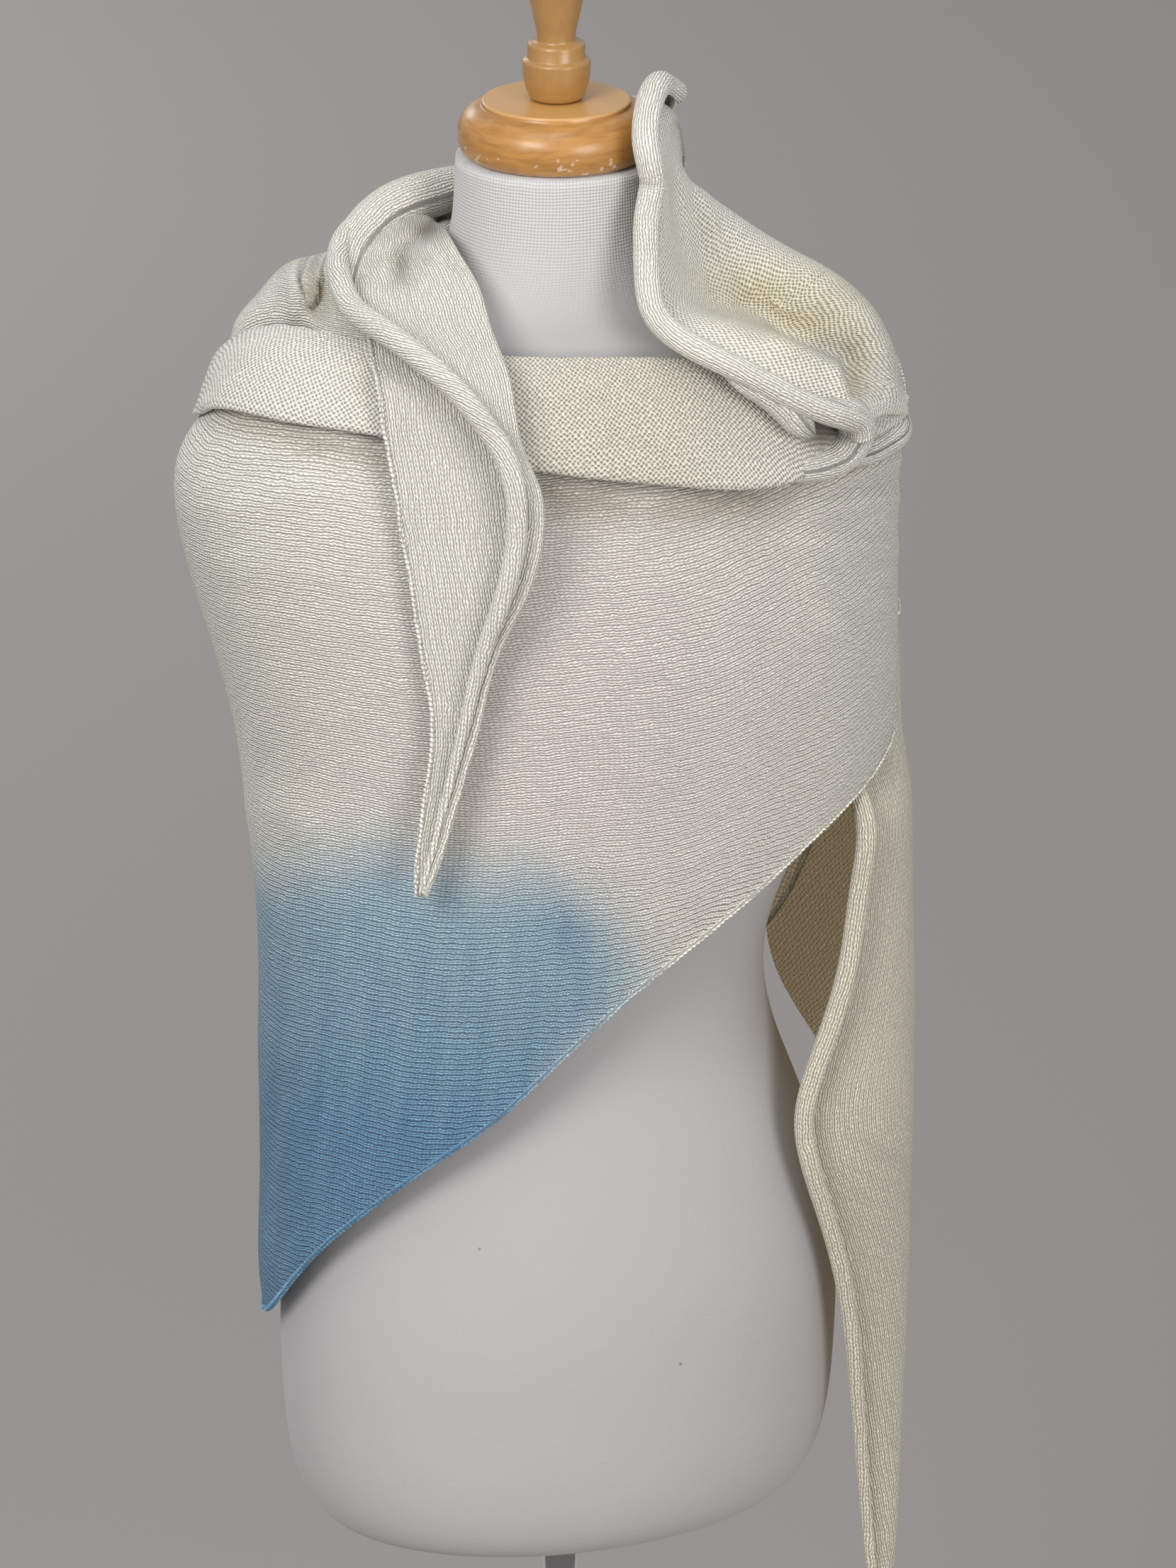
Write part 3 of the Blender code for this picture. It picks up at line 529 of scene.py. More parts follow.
def back_panel_grid(across, up):
    angles = np.linspace(BACK_HEM[0][0], BACK_HEM[-1][0] - 0.4, across)
    return wing_grid(angles, column_at(BACK_HEM, angles)[:, 0], column_at(BACK_TOP, angles)[:, 0], up)


def band_grid(stations, across):
    """The folded edge: up the inside, over the top, down the outside and curled under."""
    angles = np.linspace(BAND[0][0], BAND[-1][0], stations)
    rows = []
    for angle, values in zip(angles, column_at(BAND, angles)):
        top, bottom, top_out, belly_out, bottom_out = values
        deep = top - bottom
        tuck = float(band_tuck(angle)[0])
        curl = min(BAND_CURL, 0.16 * deep, (bottom_out - 2.6) / 1.8)
        bend = math.radians(100) * min(1.0, max(0.0, (bottom_out - 5.0) / 6.0))
        under = (bottom_out - curl * math.sin(bend), bottom - curl * math.cos(bend))
        end = (under[0] - curl * math.sin(1.9 * bend), under[1] - curl * math.cos(1.9 * bend))
        profile = np.array((
            (0.0, bottom + tuck + 1.5),
            (0.2 * top_out, top - 0.22 * deep),
            (0.3 * top_out, top - 0.08 * deep),
            (0.7 * top_out, top),
            (1.15 * top_out, top - 0.07 * deep),
            (0.5 * (top_out + belly_out) + 1.5, top - 0.26 * deep),
            (belly_out, bottom + 0.45 * deep),
            (bottom_out + 0.6 * curl, bottom + 0.14 * deep),
            (bottom_out, bottom),
            under,
            end,
        ))
        curve = evenly(profile, chord_knots(profile), across)
        rows.append(ring_point(angle, curve[:, 1], curve[:, 0]))
    return np.array(rows)


def rolled_sheet(stations, across, roll, turn, roll_count, towards):
    """A sheet across the stations' points, with a roll at the first of them."""
    grid = across_columns(stations, across)
    outward = unit(grid[:, 0] - grid[:, 1])
    curl = roll_points(grid[:, 0], outward, towards, roll, turn, roll_count)
    return np.concatenate([curl[:, ::-1], grid], axis=1)


def collar_table():
    """The collar's rows with the hollow sunk away from the camera and a lip raised beyond it."""
    roll, swell, hollow, ridge, back = np.moveaxis(np.array(COLLAR, float), 1, 0)
    sink, lift = np.moveaxis(np.array(COLLAR_RELIEF, float), 1, 0)[:, :, None]
    lip = hollow + 0.62 * (ridge - hollow) - lift * SIGHT
    return np.stack([roll, swell, hollow + sink * SIGHT, lip, ridge, back], 1)


def collar_grid(along, across, roll_count):
    stations = along_rows(collar_table(), along)
    fade = np.interp(shares(along), (0, 0.12, 0.25, 0.9, 1), (1.1, 1.15, 1.0, 1.0, 0.8))
    towards = np.array((0.6, -0.6, 0.5))
    return rolled_sheet(stations, across, COLLAR_ROLL * fade, ROLL_TURN, roll_count, towards)


def neck_back_grid(along, across, roll_count):
    stations = along_rows(NECK_BACK, along)
    towards = unit(stations[:, 0] * (1, 1, 0))
    radius = np.linspace(COLLAR_ROLL, 8.0, along)
    return rolled_sheet(stations, across, radius, ROLL_TURN, roll_count, towards)


def shoulder_grid(along, across):
    return across_columns(along_rows(SHOULDER, along), across)


def tail_grid(along, across):
    """The short end's single layer, from its loose left edge to the fold at its right."""
    fold, loose = np.moveaxis(along_rows([row[1:] for row in TAIL[3:]], along), 1, 0)
    over = fold - loose
    width = np.linalg.norm(over, axis=-1, keepdims=True)
    inset = np.interp(shares(along), (0, 0.15), (2.3, 1.5))[:, None]
    share = shares(across)[None, :, None] * (1 - inset / width)[:, None]
    facing = square_to(unit(fold * (1, 1, 0)), over / width)
    belly = np.minimum(0.05 * width, 3.0)[:, None] * np.sin(share * math.pi) * facing[:, None]
    return loose[:, None] + share * over[:, None] + belly


def tail_roll_grid(along, across, fold_count, roll_count):
    """The layer that folds over the short end, from its fold to its rolled edge."""
    roll, fold = np.moveaxis(along_rows([row[:2] for row in TAIL], along), 1, 0)
    lift = shares(along)
    share = shares(across)[None, :, None]
    over = unit(fold - roll)
    upward = np.interp(lift, (0, 0.3, 0.5), (0.9, 0.5, 0.0))[:, None] * np.array((0, 0, 1))
    facing = square_to(unit(fold * (1, 1, 0)) + upward, over)
    radius = np.interp(lift, (0, 0.6, 0.8, 1), (3.4, 3.2, 2.0, 1.2))[:, None]
    bend = np.linspace(math.radians(30), math.pi, fold_count)[None, :, None]
    arc = np.sin(bend) * over[:, None] - np.cos(bend) * facing[:, None]
    turn_over = (fold + radius * facing)[:, None] + radius[:, None] * arc
    start = turn_over[:, -1]
    gap = roll - start
    width = np.linalg.norm(gap, axis=-1, keepdims=True)
    swell = np.minimum(0.05 * width, 3.0)[:, None] * np.sin(share * math.pi) * facing[:, None]
    front = start[:, None] + share * gap[:, None] + swell
    radius = np.interp(lift, *TAIL_ROLL_RADIUS)
    turn = np.interp(lift, TAIL_ROLL_TURN[0], np.radians(TAIL_ROLL_TURN[1]))
    times = 4 * (along // 20) ** 2
    edge = front[:, -1]
    curl = roll_points(edge, eased(-over, times), eased(facing, times), radius, turn, roll_count)
    return np.concatenate([turn_over[:, :-1], front, curl], axis=1)


def side_grid(along, across, roll_count):
    """The long end: a rolled front edge, an outer fold and a loose back edge."""
    table = [[(x, y, height) for x, y in points] for height, *points in SIDE]
    share = shares(along)
    radius = np.interp(share, (0, 0.5, 0.9, 1), (SIDE_ROLL, SIDE_ROLL, 3.4, 3.0))
    turn = np.interp(share, (0, 0.8, 1), np.radians((300, 300, 180)))
    towards = np.array((0.3, -1.0, 0.0))
    return rolled_sheet(along_rows(table, along), across, radius, turn, roll_count, towards)


def seen(points):
    """Where the camera sees points in millimetres, in the photo's pixels."""
    shift = np.asarray(points, float) * MM - (CAMERA_X, CAMERA_Y, CAMERA_Z)
    down = math.sin(CAMERA_DOWN)
    level = math.cos(CAMERA_DOWN)
    depth = shift[..., 1] * level - shift[..., 2] * down
    rise = shift[..., 1] * down + shift[..., 2] * level
    x = PHOTO_WIDTH / 2 + FOCAL_PIXELS * shift[..., 0] / depth
    y = PHOTO_HEIGHT / 2 - FOCAL_PIXELS * rise / depth
    return x, y


def step_between(low, high, value):
    """0 below low, 1 above high, and an even curve between them."""
    share = np.clip((value - low) / (high - low), 0, 1)
    return share * share * (3 - 2 * share)


def flat_lengths(grid):
    """Distance along and across a grid, in millimetres, for each of its points."""
    along = np.linalg.norm(np.diff(grid, axis=0), axis=-1)
    across = np.linalg.norm(np.diff(grid, axis=1), axis=-1)
    along = np.concatenate([np.zeros((1, grid.shape[1])), np.cumsum(along, axis=0)])
    across = np.concatenate([np.zeros((grid.shape[0], 1)), np.cumsum(across, axis=1)], axis=1)
    return along, across


def spot(px, py, x, y, reach_x, reach_y, power=2):
    """A soft oval spot round a pixel, from 0 to 1."""
    return np.exp(-((px - x) / reach_x) ** power - ((py - y) / reach_y) ** power)


def patch(points, place):
    """How much of a spot the camera sees at each point."""
    return spot(*seen(points), *place)


def creases(points, rows):
    """Height of soft ridges along lines between pixels: from x, y to x, y, width and height."""
    px, py = seen(points)
    total = np.zeros(px.shape)
    for x0, y0, x1, y1, width, height in rows:
        length = math.hypot(x1 - x0, y1 - y0)
        along = ((px - x0) * (x1 - x0) + (py - y0) * (y1 - y0)) / length
        across = ((px - x0) * (y0 - y1) + (py - y0) * (x1 - x0)) / length
        share = along / length
        fade = step_between(-0.15, 0.25, share) * step_between(-1.15, -0.75, -share)
        total += height * fade * np.exp(-(across / width) ** 2)
    return total


class Look:
    """A material and its nodes. A socket takes a number, a colour or another node's output."""

    def __init__(self, name, inputs):
        self.material = bpy.data.materials.new(name)
        self.material.use_nodes = True
        self.tree = self.material.node_tree
        self.shader = self.tree.nodes["Principled BSDF"]
        self.fill(self.shader, inputs)

    def fill(self, node, inputs):
        """Puts a value or a link in each named socket of a node."""
        for name, value in inputs.items():
            socket = node.inputs[name]
            if isinstance(value, bpy.types.NodeSocket):
                self.tree.links.new(value, socket)
            elif socket.type == "RGBA":
                socket.default_value = (*value, 1.0)
            else:
                socket.default_value = value

    def add(self, kind, inputs=None, **settings):
        """A new node's outputs."""
        node = self.tree.nodes.new("ShaderNode" + kind)
        for name, value in settings.items():
            setattr(node, name, value)
        self.fill(node, inputs or {})
        return node.outputs

    def maths(self, operation, *values):
        return self.add("Math", dict(enumerate(values)), operation=operation)[0]

    def clipped(self, value, high):
        """A value held between 0 and high."""
        return self.maths("MINIMUM", self.maths("MAXIMUM", value, 0.0), high)

    def wave(self, kind, value, length=1.0):
        """A sine or cosine that repeats with each length of a value."""
        return self.maths(kind, self.maths("MULTIPLY", value, 2 * math.pi / length))

    def mix(self, share, low, high):
        """A colour between two."""
        return self.add("Mix", {0: share, 6: low, 7: high}, data_type="RGBA")[2]

    def noise(self, scale, vector, detail=2.0, distortion=0.0):
        inputs = {"Scale": scale, "Vector": vector, "Detail": detail, "Distortion": distortion}
        return self.add("TexNoise", inputs)

    def wandering(self, source, scale, amount):
        """Flat coordinates moved about by noise, so that the stitches are uneven."""
        wobble = self.noise(scale, source, 1.0)["Color"]
        centred = self.add("VectorMath", {0: wobble, 1: (0.5, 0.5, 0.5)}, operation="SUBTRACT")[0]
        scaled = self.add("VectorMath", {0: centred, "Scale": amount}, operation="SCALE")[0]
        return self.add("VectorMath", {0: source, 1: scaled})[0]

    def finish(self, colour, height=None, distance=0.0):
        """The material, with its colour and the bumps of a height joined to its shader."""
        self.fill(self.shader, {"Base Color": colour})
        if height is not None:
            bump = self.add("Bump", {"Height": height, "Distance": distance})
            self.fill(self.shader, {"Normal": bump["Normal"]})
        return self.material


def stitches(look, side):
    """Two heights, from 0 to 1: the stitches, and the gaps between their columns."""
    maths = look.maths
    place = look.wandering(look.add("UVMap", uv_map="knit")["UV"], 40.0, 0.0034)
    split = look.add("SeparateXYZ", {0: look.wandering(place, 240.0, 0.0017)})
    column = maths("DIVIDE", split["X"], STITCH_WIDTH * MM)
    course = maths("DIVIDE", split["Y"], STITCH_LENGTH * MM)
    centre = maths("ABSOLUTE", maths("SUBTRACT", maths("FRACT", column), 0.5))
    gap = maths("MINIMUM", maths("MULTIPLY_ADD", centre, -3.6, 1.8), 1.0)
    if side == "purl":
        both = maths("MULTIPLY", look.wave("COSINE", column), look.wave("COSINE", course))
        return maths("POWER", maths("MULTIPLY_ADD", both, 0.5, 0.5), 0.55), gap
    spread = maths("MULTIPLY", centre, 2.0)
    leg = maths("SINE", maths("MULTIPLY", spread, math.pi))
    leg = maths("POWER", maths("MAXIMUM", leg, 0.0), 0.6)
    phase = maths("FRACT", maths("MULTIPLY_ADD", spread, -0.6, course))
    bead = maths("POWER", maths("SINE", maths("MULTIPLY", phase, math.pi)), 0.5)
    return maths("MULTIPLY", leg, maths("MULTIPLY_ADD", bead, 0.65, 0.35)), gap


def knit_material(name, side, depth, low, high, glow=0.0):
    """Wool knit: the mesh's own colours, shaded from low between the stitches to high on them.

    A little glow stands for daylight that comes through the thin wool from behind.
    """
    wool = {"Roughness": 0.92, "Sheen Weight": 0.30, "Sheen Roughness": 0.45, "Specular IOR Level": 0.12}
    look = Look(name, wool)
    maths = look.maths
    height, gap = stitches(look, side)
    tone = look.add("Attribute", attribute_name="tone")
    fleck = look.noise(700.0, look.add("TexCoord")["Object"], 3.0)["Fac"]
    shade = maths("MULTIPLY_ADD", height, high - low, low)
    shade = maths("ADD", shade, maths("MULTIPLY_ADD", fleck, 0.5, -0.25))
    dark = maths("MULTIPLY", tone["Alpha"], maths("SUBTRACT", 1.0, gap))
    shade = maths("MULTIPLY", shade, maths("MULTIPLY_ADD", dark, -0.42, 1.0))
    gamma = maths("MULTIPLY_ADD", shade, -0.5, 1.5)
    richer = look.add("Gamma", {"Color": tone["Color"], "Gamma": gamma})["Color"]
    colour = look.add("VectorMath", {0: richer, "Scale": shade}, operation="SCALE")[0]
    if glow:
        look.fill(look.shader, {"Emission Color": colour, "Emission Strength": glow})
    thread = maths("MULTIPLY", height, maths("MULTIPLY_ADD", gap, 0.5, 0.5))
    return look.finish(colour, maths("MULTIPLY_ADD", fleck, 0.3, thread), depth * MM)


def jersey_material():
    """White jersey: a stretched grid of stitches on the neck, a fine grain below, and a few specks."""
    look = Look("jersey_look", {"Roughness": 0.9, "Sheen Weight": 0.15, "Specular IOR Level": 0.2})
    maths = look.maths
    place = look.add("TexCoord")
    split = look.add("SeparateXYZ", {0: look.wandering(place["UV"], 60.0, 0.0016)})
    height = look.add("SeparateXYZ", {0: place["Object"]})["Z"]
    neck = look.clipped(maths("MULTIPLY_ADD", height, 16.0, -23.1), 1.0)
    both = maths("ADD", look.wave("SINE", split["X"], 0.0019), look.wave("SINE", split["Y"], 0.0019))
    weave = maths("MULTIPLY_ADD", both, -0.25, 0.5)
    hole = maths("MULTIPLY", maths("POWER", weave, 2.0), neck)
    cloud = look.noise(9.0, place["Object"])["Fac"]
    fine = look.noise(420.0, place["Object"], 3.0)["Fac"]
    specks = look.add("TexVoronoi", {"Scale": 17.0, "Vector": place["Object"]})
    speck = maths("LESS_THAN", specks["Distance"], 0.018)
    base = look.mix(cloud, (0.455, 0.446, 0.450), (0.50, 0.490, 0.494))
    base = look.mix(neck, base, (0.71, 0.705, 0.70))
    base = look.mix(maths("MULTIPLY", fine, 0.22), base, (0.40, 0.39, 0.39))
    base = look.mix(maths("MULTIPLY", hole, 0.7), base, (0.34, 0.32, 0.31))
    base = look.mix(maths("MULTIPLY", speck, 0.6), base, (0.18, 0.16, 0.15))
    height = maths("MULTIPLY_ADD", fine, 0.4, maths("MULTIPLY", weave, neck))
    return look.finish(base, height, 0.0004)


def wood_material(name, light, dark, stretch, disc):
    """Lacquered wood with fine darker grain, a top disc painted paler as painted light, and chips near
    the lower edge.
    """
    look = Look(name, {"Roughness": 0.38, "Coat Weight": 0.45, "Coat Roughness": 0.26})
    maths = look.maths
    place = look.add("TexCoord")["Object"]
    stretched = look.add("Mapping", {"Scale": stretch, "Vector": place})["Vector"]
    grain = look.noise(60.0, stretched, 6.0, 0.6)["Fac"]
    share = look.clipped(maths("MULTIPLY", maths("SUBTRACT", grain, 0.4), 3.0), 1.0)
    height = look.add("SeparateXYZ", {0: place})["Z"]
    low = look.clipped(maths("MULTIPLY_ADD", height, -60.0, 92.7), 0.16)
    bare = maths("GREATER_THAN", maths("ADD", look.noise(190.0, place, 4.0)["Fac"], low), 0.80)
    # Above the cap's top the colour goes most of the way to disc: painted light on the cap's upward
    # disc; the finial lies wholly above it and takes disc as its own tone.
    top = maths("GREATER_THAN", height, 1.5608)
    wood = look.mix(maths("MULTIPLY", top, 0.75), look.mix(share, light, dark), disc)
    return look.finish(look.mix(maths("MULTIPLY", bare, 0.6), wood, (0.72, 0.62, 0.48)))


def metal_material(name, colour, roughness):
    return Look(name, {"Roughness": roughness, "Base Color": colour, "Metallic": 1.0}).material


def linked(name, data):
    """A new object in the scene."""
    item = bpy.data.objects.new(name, data)
    bpy.context.collection.objects.link(item)
    return item


def new_piece(name, vertices, faces, material, node, slot):
    """A smooth mesh, which stands for a CAD node if one is named."""
    mesh = bpy.data.meshes.new(name)
    mesh.from_pydata((np.asarray(vertices) * MM).tolist(), [], faces)
    mesh.materials.append(material)
    mesh.shade_smooth()
    piece = linked(name, mesh)
    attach(piece, "root")
    if node:
        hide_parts(node)
    return piece


def store_places(mesh, u, v):
    """Flat coordinates in metres for each corner of a mesh, from those of its points."""
    layer = mesh.uv_layers.new(name="knit")
    corners = np.empty(len(mesh.loops), dtype=np.int32)
    mesh.loops.foreach_get("vertex_index", corners)
    places = np.stack([u[corners], v[corners]], -1) * MM
    layer.data.foreach_set("uv", places.astype(np.float32).ravel())


def store_tone(mesh, colours, gaps):
    """Colours, with how dark the gaps between columns of stitches are in their alpha."""
    layer = mesh.color_attributes.new(name="tone", type="FLOAT_COLOR", domain="POINT")
    values = np.concatenate([colours, np.broadcast_to(gaps, (len(colours),))[:, None]], axis=1)
    layer.data.foreach_set("color", values.astype(np.float32).ravel())


def wall_faces(rows, columns):
    """Quads of a closed wall whose upper points come before its lower points."""
    count = rows * columns
    index = np.arange(count).reshape(rows, columns)
    top = np.stack([index[:-1, :-1], index[1:, :-1], index[1:, 1:], index[:-1, 1:]], -1).reshape(-1, 4)
    faces = np.concatenate([top, top[:, [0, 3, 2, 1]] + count]).tolist()
    border = list(index[:, 0]) + list(index[-1, 1:]) + list(index[-2::-1, -1]) + list(index[0, -2:0:-1])
    for a, b in zip(border, border[1:] + border[:1]):
        faces.append([int(a), int(a + count), int(b + count), int(b)])
    return faces


def add_knit(name, grid, materials, node, colours, places,
             slot="cream_knit", gaps=0.5, rolled=0, inner_from=None, inside=1.0):
    """A thin closed wall of knit on both sides of a grid.

    A second material covers its first columns, where it is rolled, or its inner face from a column.
    """
    rows, columns = grid.shape[:2]
    side = normals(grid) * WALL / 2
    side = side * np.sign((side * grid * (1, 1, 0)).sum(-1).mean())
    points = np.concatenate([(grid + side).reshape(-1, 3), (grid - side).reshape(-1, 3)])
    faces = wall_faces(rows, columns)
    if (np.cross(grid[1, 0] - grid[0, 0], grid[0, 1] - grid[0, 0]) * side[0, 0]).sum() < 0:
        faces = [face[::-1] for face in faces]
    piece = new_piece(name, points, faces, materials[0], node, slot)
    for material in materials[1:]:
        piece.data.materials.append(material)
    count = (rows - 1) * (columns - 1)
    column = np.arange(count) % (columns - 1)
    index = np.zeros(len(piece.data.polygons), dtype=np.int32)
    index[:2 * count] = np.tile(column < rolled, 2)
    if inner_from is not None:
        index[count:2 * count] = column >= inner_from
    piece.data.polygons.foreach_set("material_index", index)
    u, v = places
    store_places(piece.data, np.tile(u.reshape(-1), 2), np.tile(v.reshape(-1), 2))
    # The inner face's colours are multiplied by inside: painted warm light through the wool.
    both = np.concatenate([colours.reshape(-1, 3), (colours * inside).reshape(-1, 3)])
    strength = np.broadcast_to(gaps, grid.shape[:2]).reshape(-1)
    store_tone(piece.data, both, np.tile(strength, 2))
    return piece


def add_lengthwise(name, grid, materials, node, colours=None, **details):
    """A stretch whose columns of stitches run along it."""
    along, across = flat_lengths(grid)
    middle = along[:, grid.shape[1] // 2][:, None] * np.ones((1, grid.shape[1]))
    colours = plain_tone(grid) if colours is None else colours
    return add_knit(name, grid, materials, node, colours, (across, middle), **details)


def add_rings(name, rings, reach, rise, material, node, slot):
    """A closed solid through a stack of rings, with stitch places round it and along it."""
    rows, sides = rings.shape[:2]
    index = np.arange(rows * sides).reshape(rows, sides)
    ahead = np.roll(index, -1, axis=1)
    faces = np.stack([index[:-1], ahead[:-1], ahead[1:], index[1:]], -1).reshape(-1, 4).tolist()
    faces += [index[0, ::-1].tolist(), index[-1].tolist()]
    piece = new_piece(name, rings.reshape(-1, 3), faces, material, node, slot)
    around = np.broadcast_to(np.linspace(0, reach, sides)[None, :], (rows, sides))
    store_places(piece.data, around.reshape(-1), np.repeat(rise, sides))
    return piece


def ring_turns(sides):
    return np.linspace(0, 2 * math.pi, sides + 1)[:-1]


def rings_round(line, radius, sides):
    """Rings of points square to a line."""
    heading = unit(np.gradient(line, axis=0))
    side = square_to(np.broadcast_to((0.3, -1.0, 0.2), line.shape), heading)
    other = np.cross(heading, side)
    turns = ring_turns(sides)
    ring = np.cos(turns)[None, :, None] * side[:, None] + np.sin(turns)[None, :, None] * other[:, None]
    return line[:, None] + ring * radius[:, :, None]


def add_tube(name, table, material):
    """A closed, tapering roll of cloth along a table of x, y, z and radius."""
    table = np.array(table, float)
    knots = chord_knots(table[:, :3])
    count = max(int(knots[-1] / TUBE_STEP), 24)
    places = np.linspace(0, knots[-1], count)
    rows = smooth(knots, table, places)
    line = rows[:, :3]
    ends = np.sqrt(np.clip(1 - np.abs(np.linspace(-1, 1, count)) ** 8, 0.02, 1))
    rings = rings_round(line, (rows[:, 3] * ends)[:, None], TUBE_SIDES)
    reach = rows[:, 3].mean() * 2 * math.pi
    piece = add_rings(name, rings, reach, places, material, None, "cream_knit")
    store_tone(piece.data, np.repeat(plain_tone(line), TUBE_SIDES, axis=0), 0.6)
    return piece


def add_chain(name, path, radius, material, colour, slot="cream_knit"):
    """The chain of edge stitches along a path."""
    knots = chord_knots(path)
    places = np.linspace(0, knots[-1], int(knots[-1] / STITCH_LENGTH * CHAIN_STEPS))
    line = smooth(knots, path, places)
    phase = places[:, None] / STITCH_LENGTH * 2 * math.pi
    swell = radius * (0.80 + 0.22 * np.cos(phase - 1.2 * np.cos(ring_turns(CHAIN_SIDES))[None, :]))
    rings = rings_round(line, swell, CHAIN_SIDES)
    piece = add_rings(name, rings, 2 * radius, places, material, None, slot)
    store_tone(piece.data, np.repeat(colour(line), CHAIN_SIDES, axis=0), 0.0)
    return piece


def blend_colours(low, high, share):
    return low + (high - low) * share[..., None]


def dye_share(px, py):
    """How blue a pixel of the dipped corner is, and how deep the blue."""
    top = DYE_TOP + DYE_FALL * np.maximum(px - DYE_TURN, 0)
    top = top - DYE_CREST_HEIGHT * np.exp(-((px - DYE_CREST) / DYE_CREST_WIDTH) ** 2)
    heights, rights = zip(*DYE_RIGHT)
    right = np.interp(py, heights, rights)
    waver = 7 * np.sin(px / 37) + 4 * np.sin(px / 17 + 1.3)
    below = step_between(*DYE_TOP_BLUR, py - top + waver)
    inside = step_between(*DYE_RIGHT_BLUR, right - px + 10 * np.sin(py / 31))
    deep = np.clip((py - DEEP_Y) / 330 + (DEEP_X - px) / 1700, 0, 1)
    return below * inside, deep


def dyed(px, py, base):
    share, deep = dye_share(px, py)
    heather = 0.05 * np.sin(px / 11.3 + 2 * np.sin(py / 83)) + 0.05 * np.sin(px / 5.1 + py / 47)
    depth = np.clip(deep + heather + 0.45 * spot(px, py, *DYE_SPOT), 0, 1)
    blue = blend_colours(BLUE_PALE, BLUE_DEEP, depth)
    return base * (1 - share[..., None]) + blue * share[..., None]


def front_tone(points):
    """The front wing's colour: thin and pinkish where it lies on the form, a painted shadow under the
    band, blue in the corner.
    """
    px, py = seen(points)
    thin = 0.9 * spot(px, py, *THIN_SPOT, power=4)
    base = tinted(points, SHEER, thin)
    base = base * (1 - creases(points, UNDER_BAND)[..., None] * np.array((0.24, 0.27, 0.32)))
    return dyed(px, py, base)


def back_tone(points, angle):
    """The back wing's colour: the dip line goes on round the form from the front."""
    seam = ring_point(np.full(points.shape[:-1], SEAM_VIEW_ANGLE), points[..., 2])
    px = SEAM_PIXEL + (SEAM_ANGLE - angle) * PIXELS_A_DEGREE
    return dyed(px, seen(seam)[1], plain_tone(points))


def back_hem_tone(line):
    return back_tone(line, np.degrees(np.arctan2(line[:, 1], line[:, 0])) - 20)


def plain_tone(points):
    return np.broadcast_to(CREAM, points.shape).copy()


def chain_tone(points):
    return plain_tone(points) * 0.84


def tinted(points, colour, share):
    return blend_colours(plain_tone(points), colour, share)


def collar_tone(points):
    """Cream, with painted shade: warmer and deeper in the hollow, and darker at the collar's end and
    over its upper ridge.
    """
    # Painted shade: tan in the collar's hollow.
    hollow_shade = sum(patch(points, place) for place in COLLAR_HOLLOW_SHADE)
    colours = tinted(points, SHADE_TAN, np.clip(0.9 * hollow_shade, 0, 0.9))
    colours = colours * (1 - 0.25 * patch(points, COLLAR_END_SHADE)[..., None])
    return colours * (1 - patch(points, COLLAR_SHADE)[..., None] * np.array((0.20, 0.22, 0.30)))


def away_from_roll(columns, rolled):
    """0 on a sheet's rolled columns, 1 a little way into its flat part."""
    return step_between(rolled, rolled + ROLL_FADE, np.arange(columns))[None, :]


def away_from_edges(rows):
    """0 at a wing's hem and top, 1 between them."""
    share = shares(rows)[:, None]
    return step_between(0, 0.06, share) * step_between(0, 0.05, 1 - share)


def wavy(points, height):
    """Low uneven swells, so that no stretch of cloth is quite even."""
    x, y, z = np.moveaxis(points, -1, 0)
    total = np.sin(x / 31 + z / 57) + 0.7 * np.sin(z / 23 - y / 39 + 1.1)
    return height * (total + 0.5 * np.sin(x / 13 + y / 17 + z / 71)) / 2.2


def raised(grid, amount):
    """A grid moved out along its normals, away from the form."""
    out = normals(grid)
    sign = np.sign((out * (grid * (1, 1, 0))).sum(-1, keepdims=True))
    return grid + out * sign * amount[..., None]


def build_front_wing(knit):
    grid = front_panel_grid(*FRONT_MESH)
    px, py = seen(grid)
    folds = creases(grid, PANEL_CREASES) + wavy(grid, 0.8)
    grid = raised(grid, folds * away_from_edges(FRONT_MESH[1]))
    across = flat_lengths(grid)[1]
    rise = 0.0016 * np.maximum(grid[..., 0] - 60, 0) ** 2
    rise = rise + 2.5 * np.sin(across / 60) + 1.5 * np.sin(across / 23 + 1)
    places = (grid[..., 2] - rise, across)
    gaps = 0.35 + 0.65 * np.clip(np.abs(px - GAP_CENTRE) / GAP_REACH, 0, 1) ** 2
    gaps = np.clip(gaps + 0.9 * step_between(*GAP_LOW, py), 0, 1.5)
    wing = add_knit("front_wing", grid, [knit], "front_panel", front_tone(grid), places,
                    slot="dip_dyed_knit", gaps=gaps, inside=INNER_LIGHT_TINT)
    line = raised(grid, np.full(px.shape, 0.4))[0]
    hem = add_chain("front_hem_chain", line, CHAIN_RADIUS, knit, front_tone, "dip_dyed_knit")
    return wing


def build_back_wing(knit, lit):
    columns, rows = BACK_MESH
    grid = back_panel_grid(columns, rows)
    angle = np.linspace(BACK_HEM[0][0], BACK_HEM[-1][0], columns)[None, :] * np.ones((rows, 1))
    share = shares(rows)[:, None]
    folds = 0
    for start, lean, width, height in BACK_FOLDS:
        folds = folds + height * np.exp(-((angle - start - lean * share) / width) ** 2)
    grid = raised(grid, (folds + wavy(grid, 0.9)) * away_from_edges(rows))
    across = flat_lengths(grid)[1]
    places = (grid[..., 2] - 3.0 * np.sin(across / 60), across)
    wing = add_knit("back_wing", grid, [knit, lit], "back_panel", back_tone(grid, angle), places,
                    gaps=0.8, inner_from=1, inside=INNER_LIGHT_TINT)
    hem = add_chain("back_hem_chain", grid[0], CHAIN_RADIUS, knit, back_hem_tone)


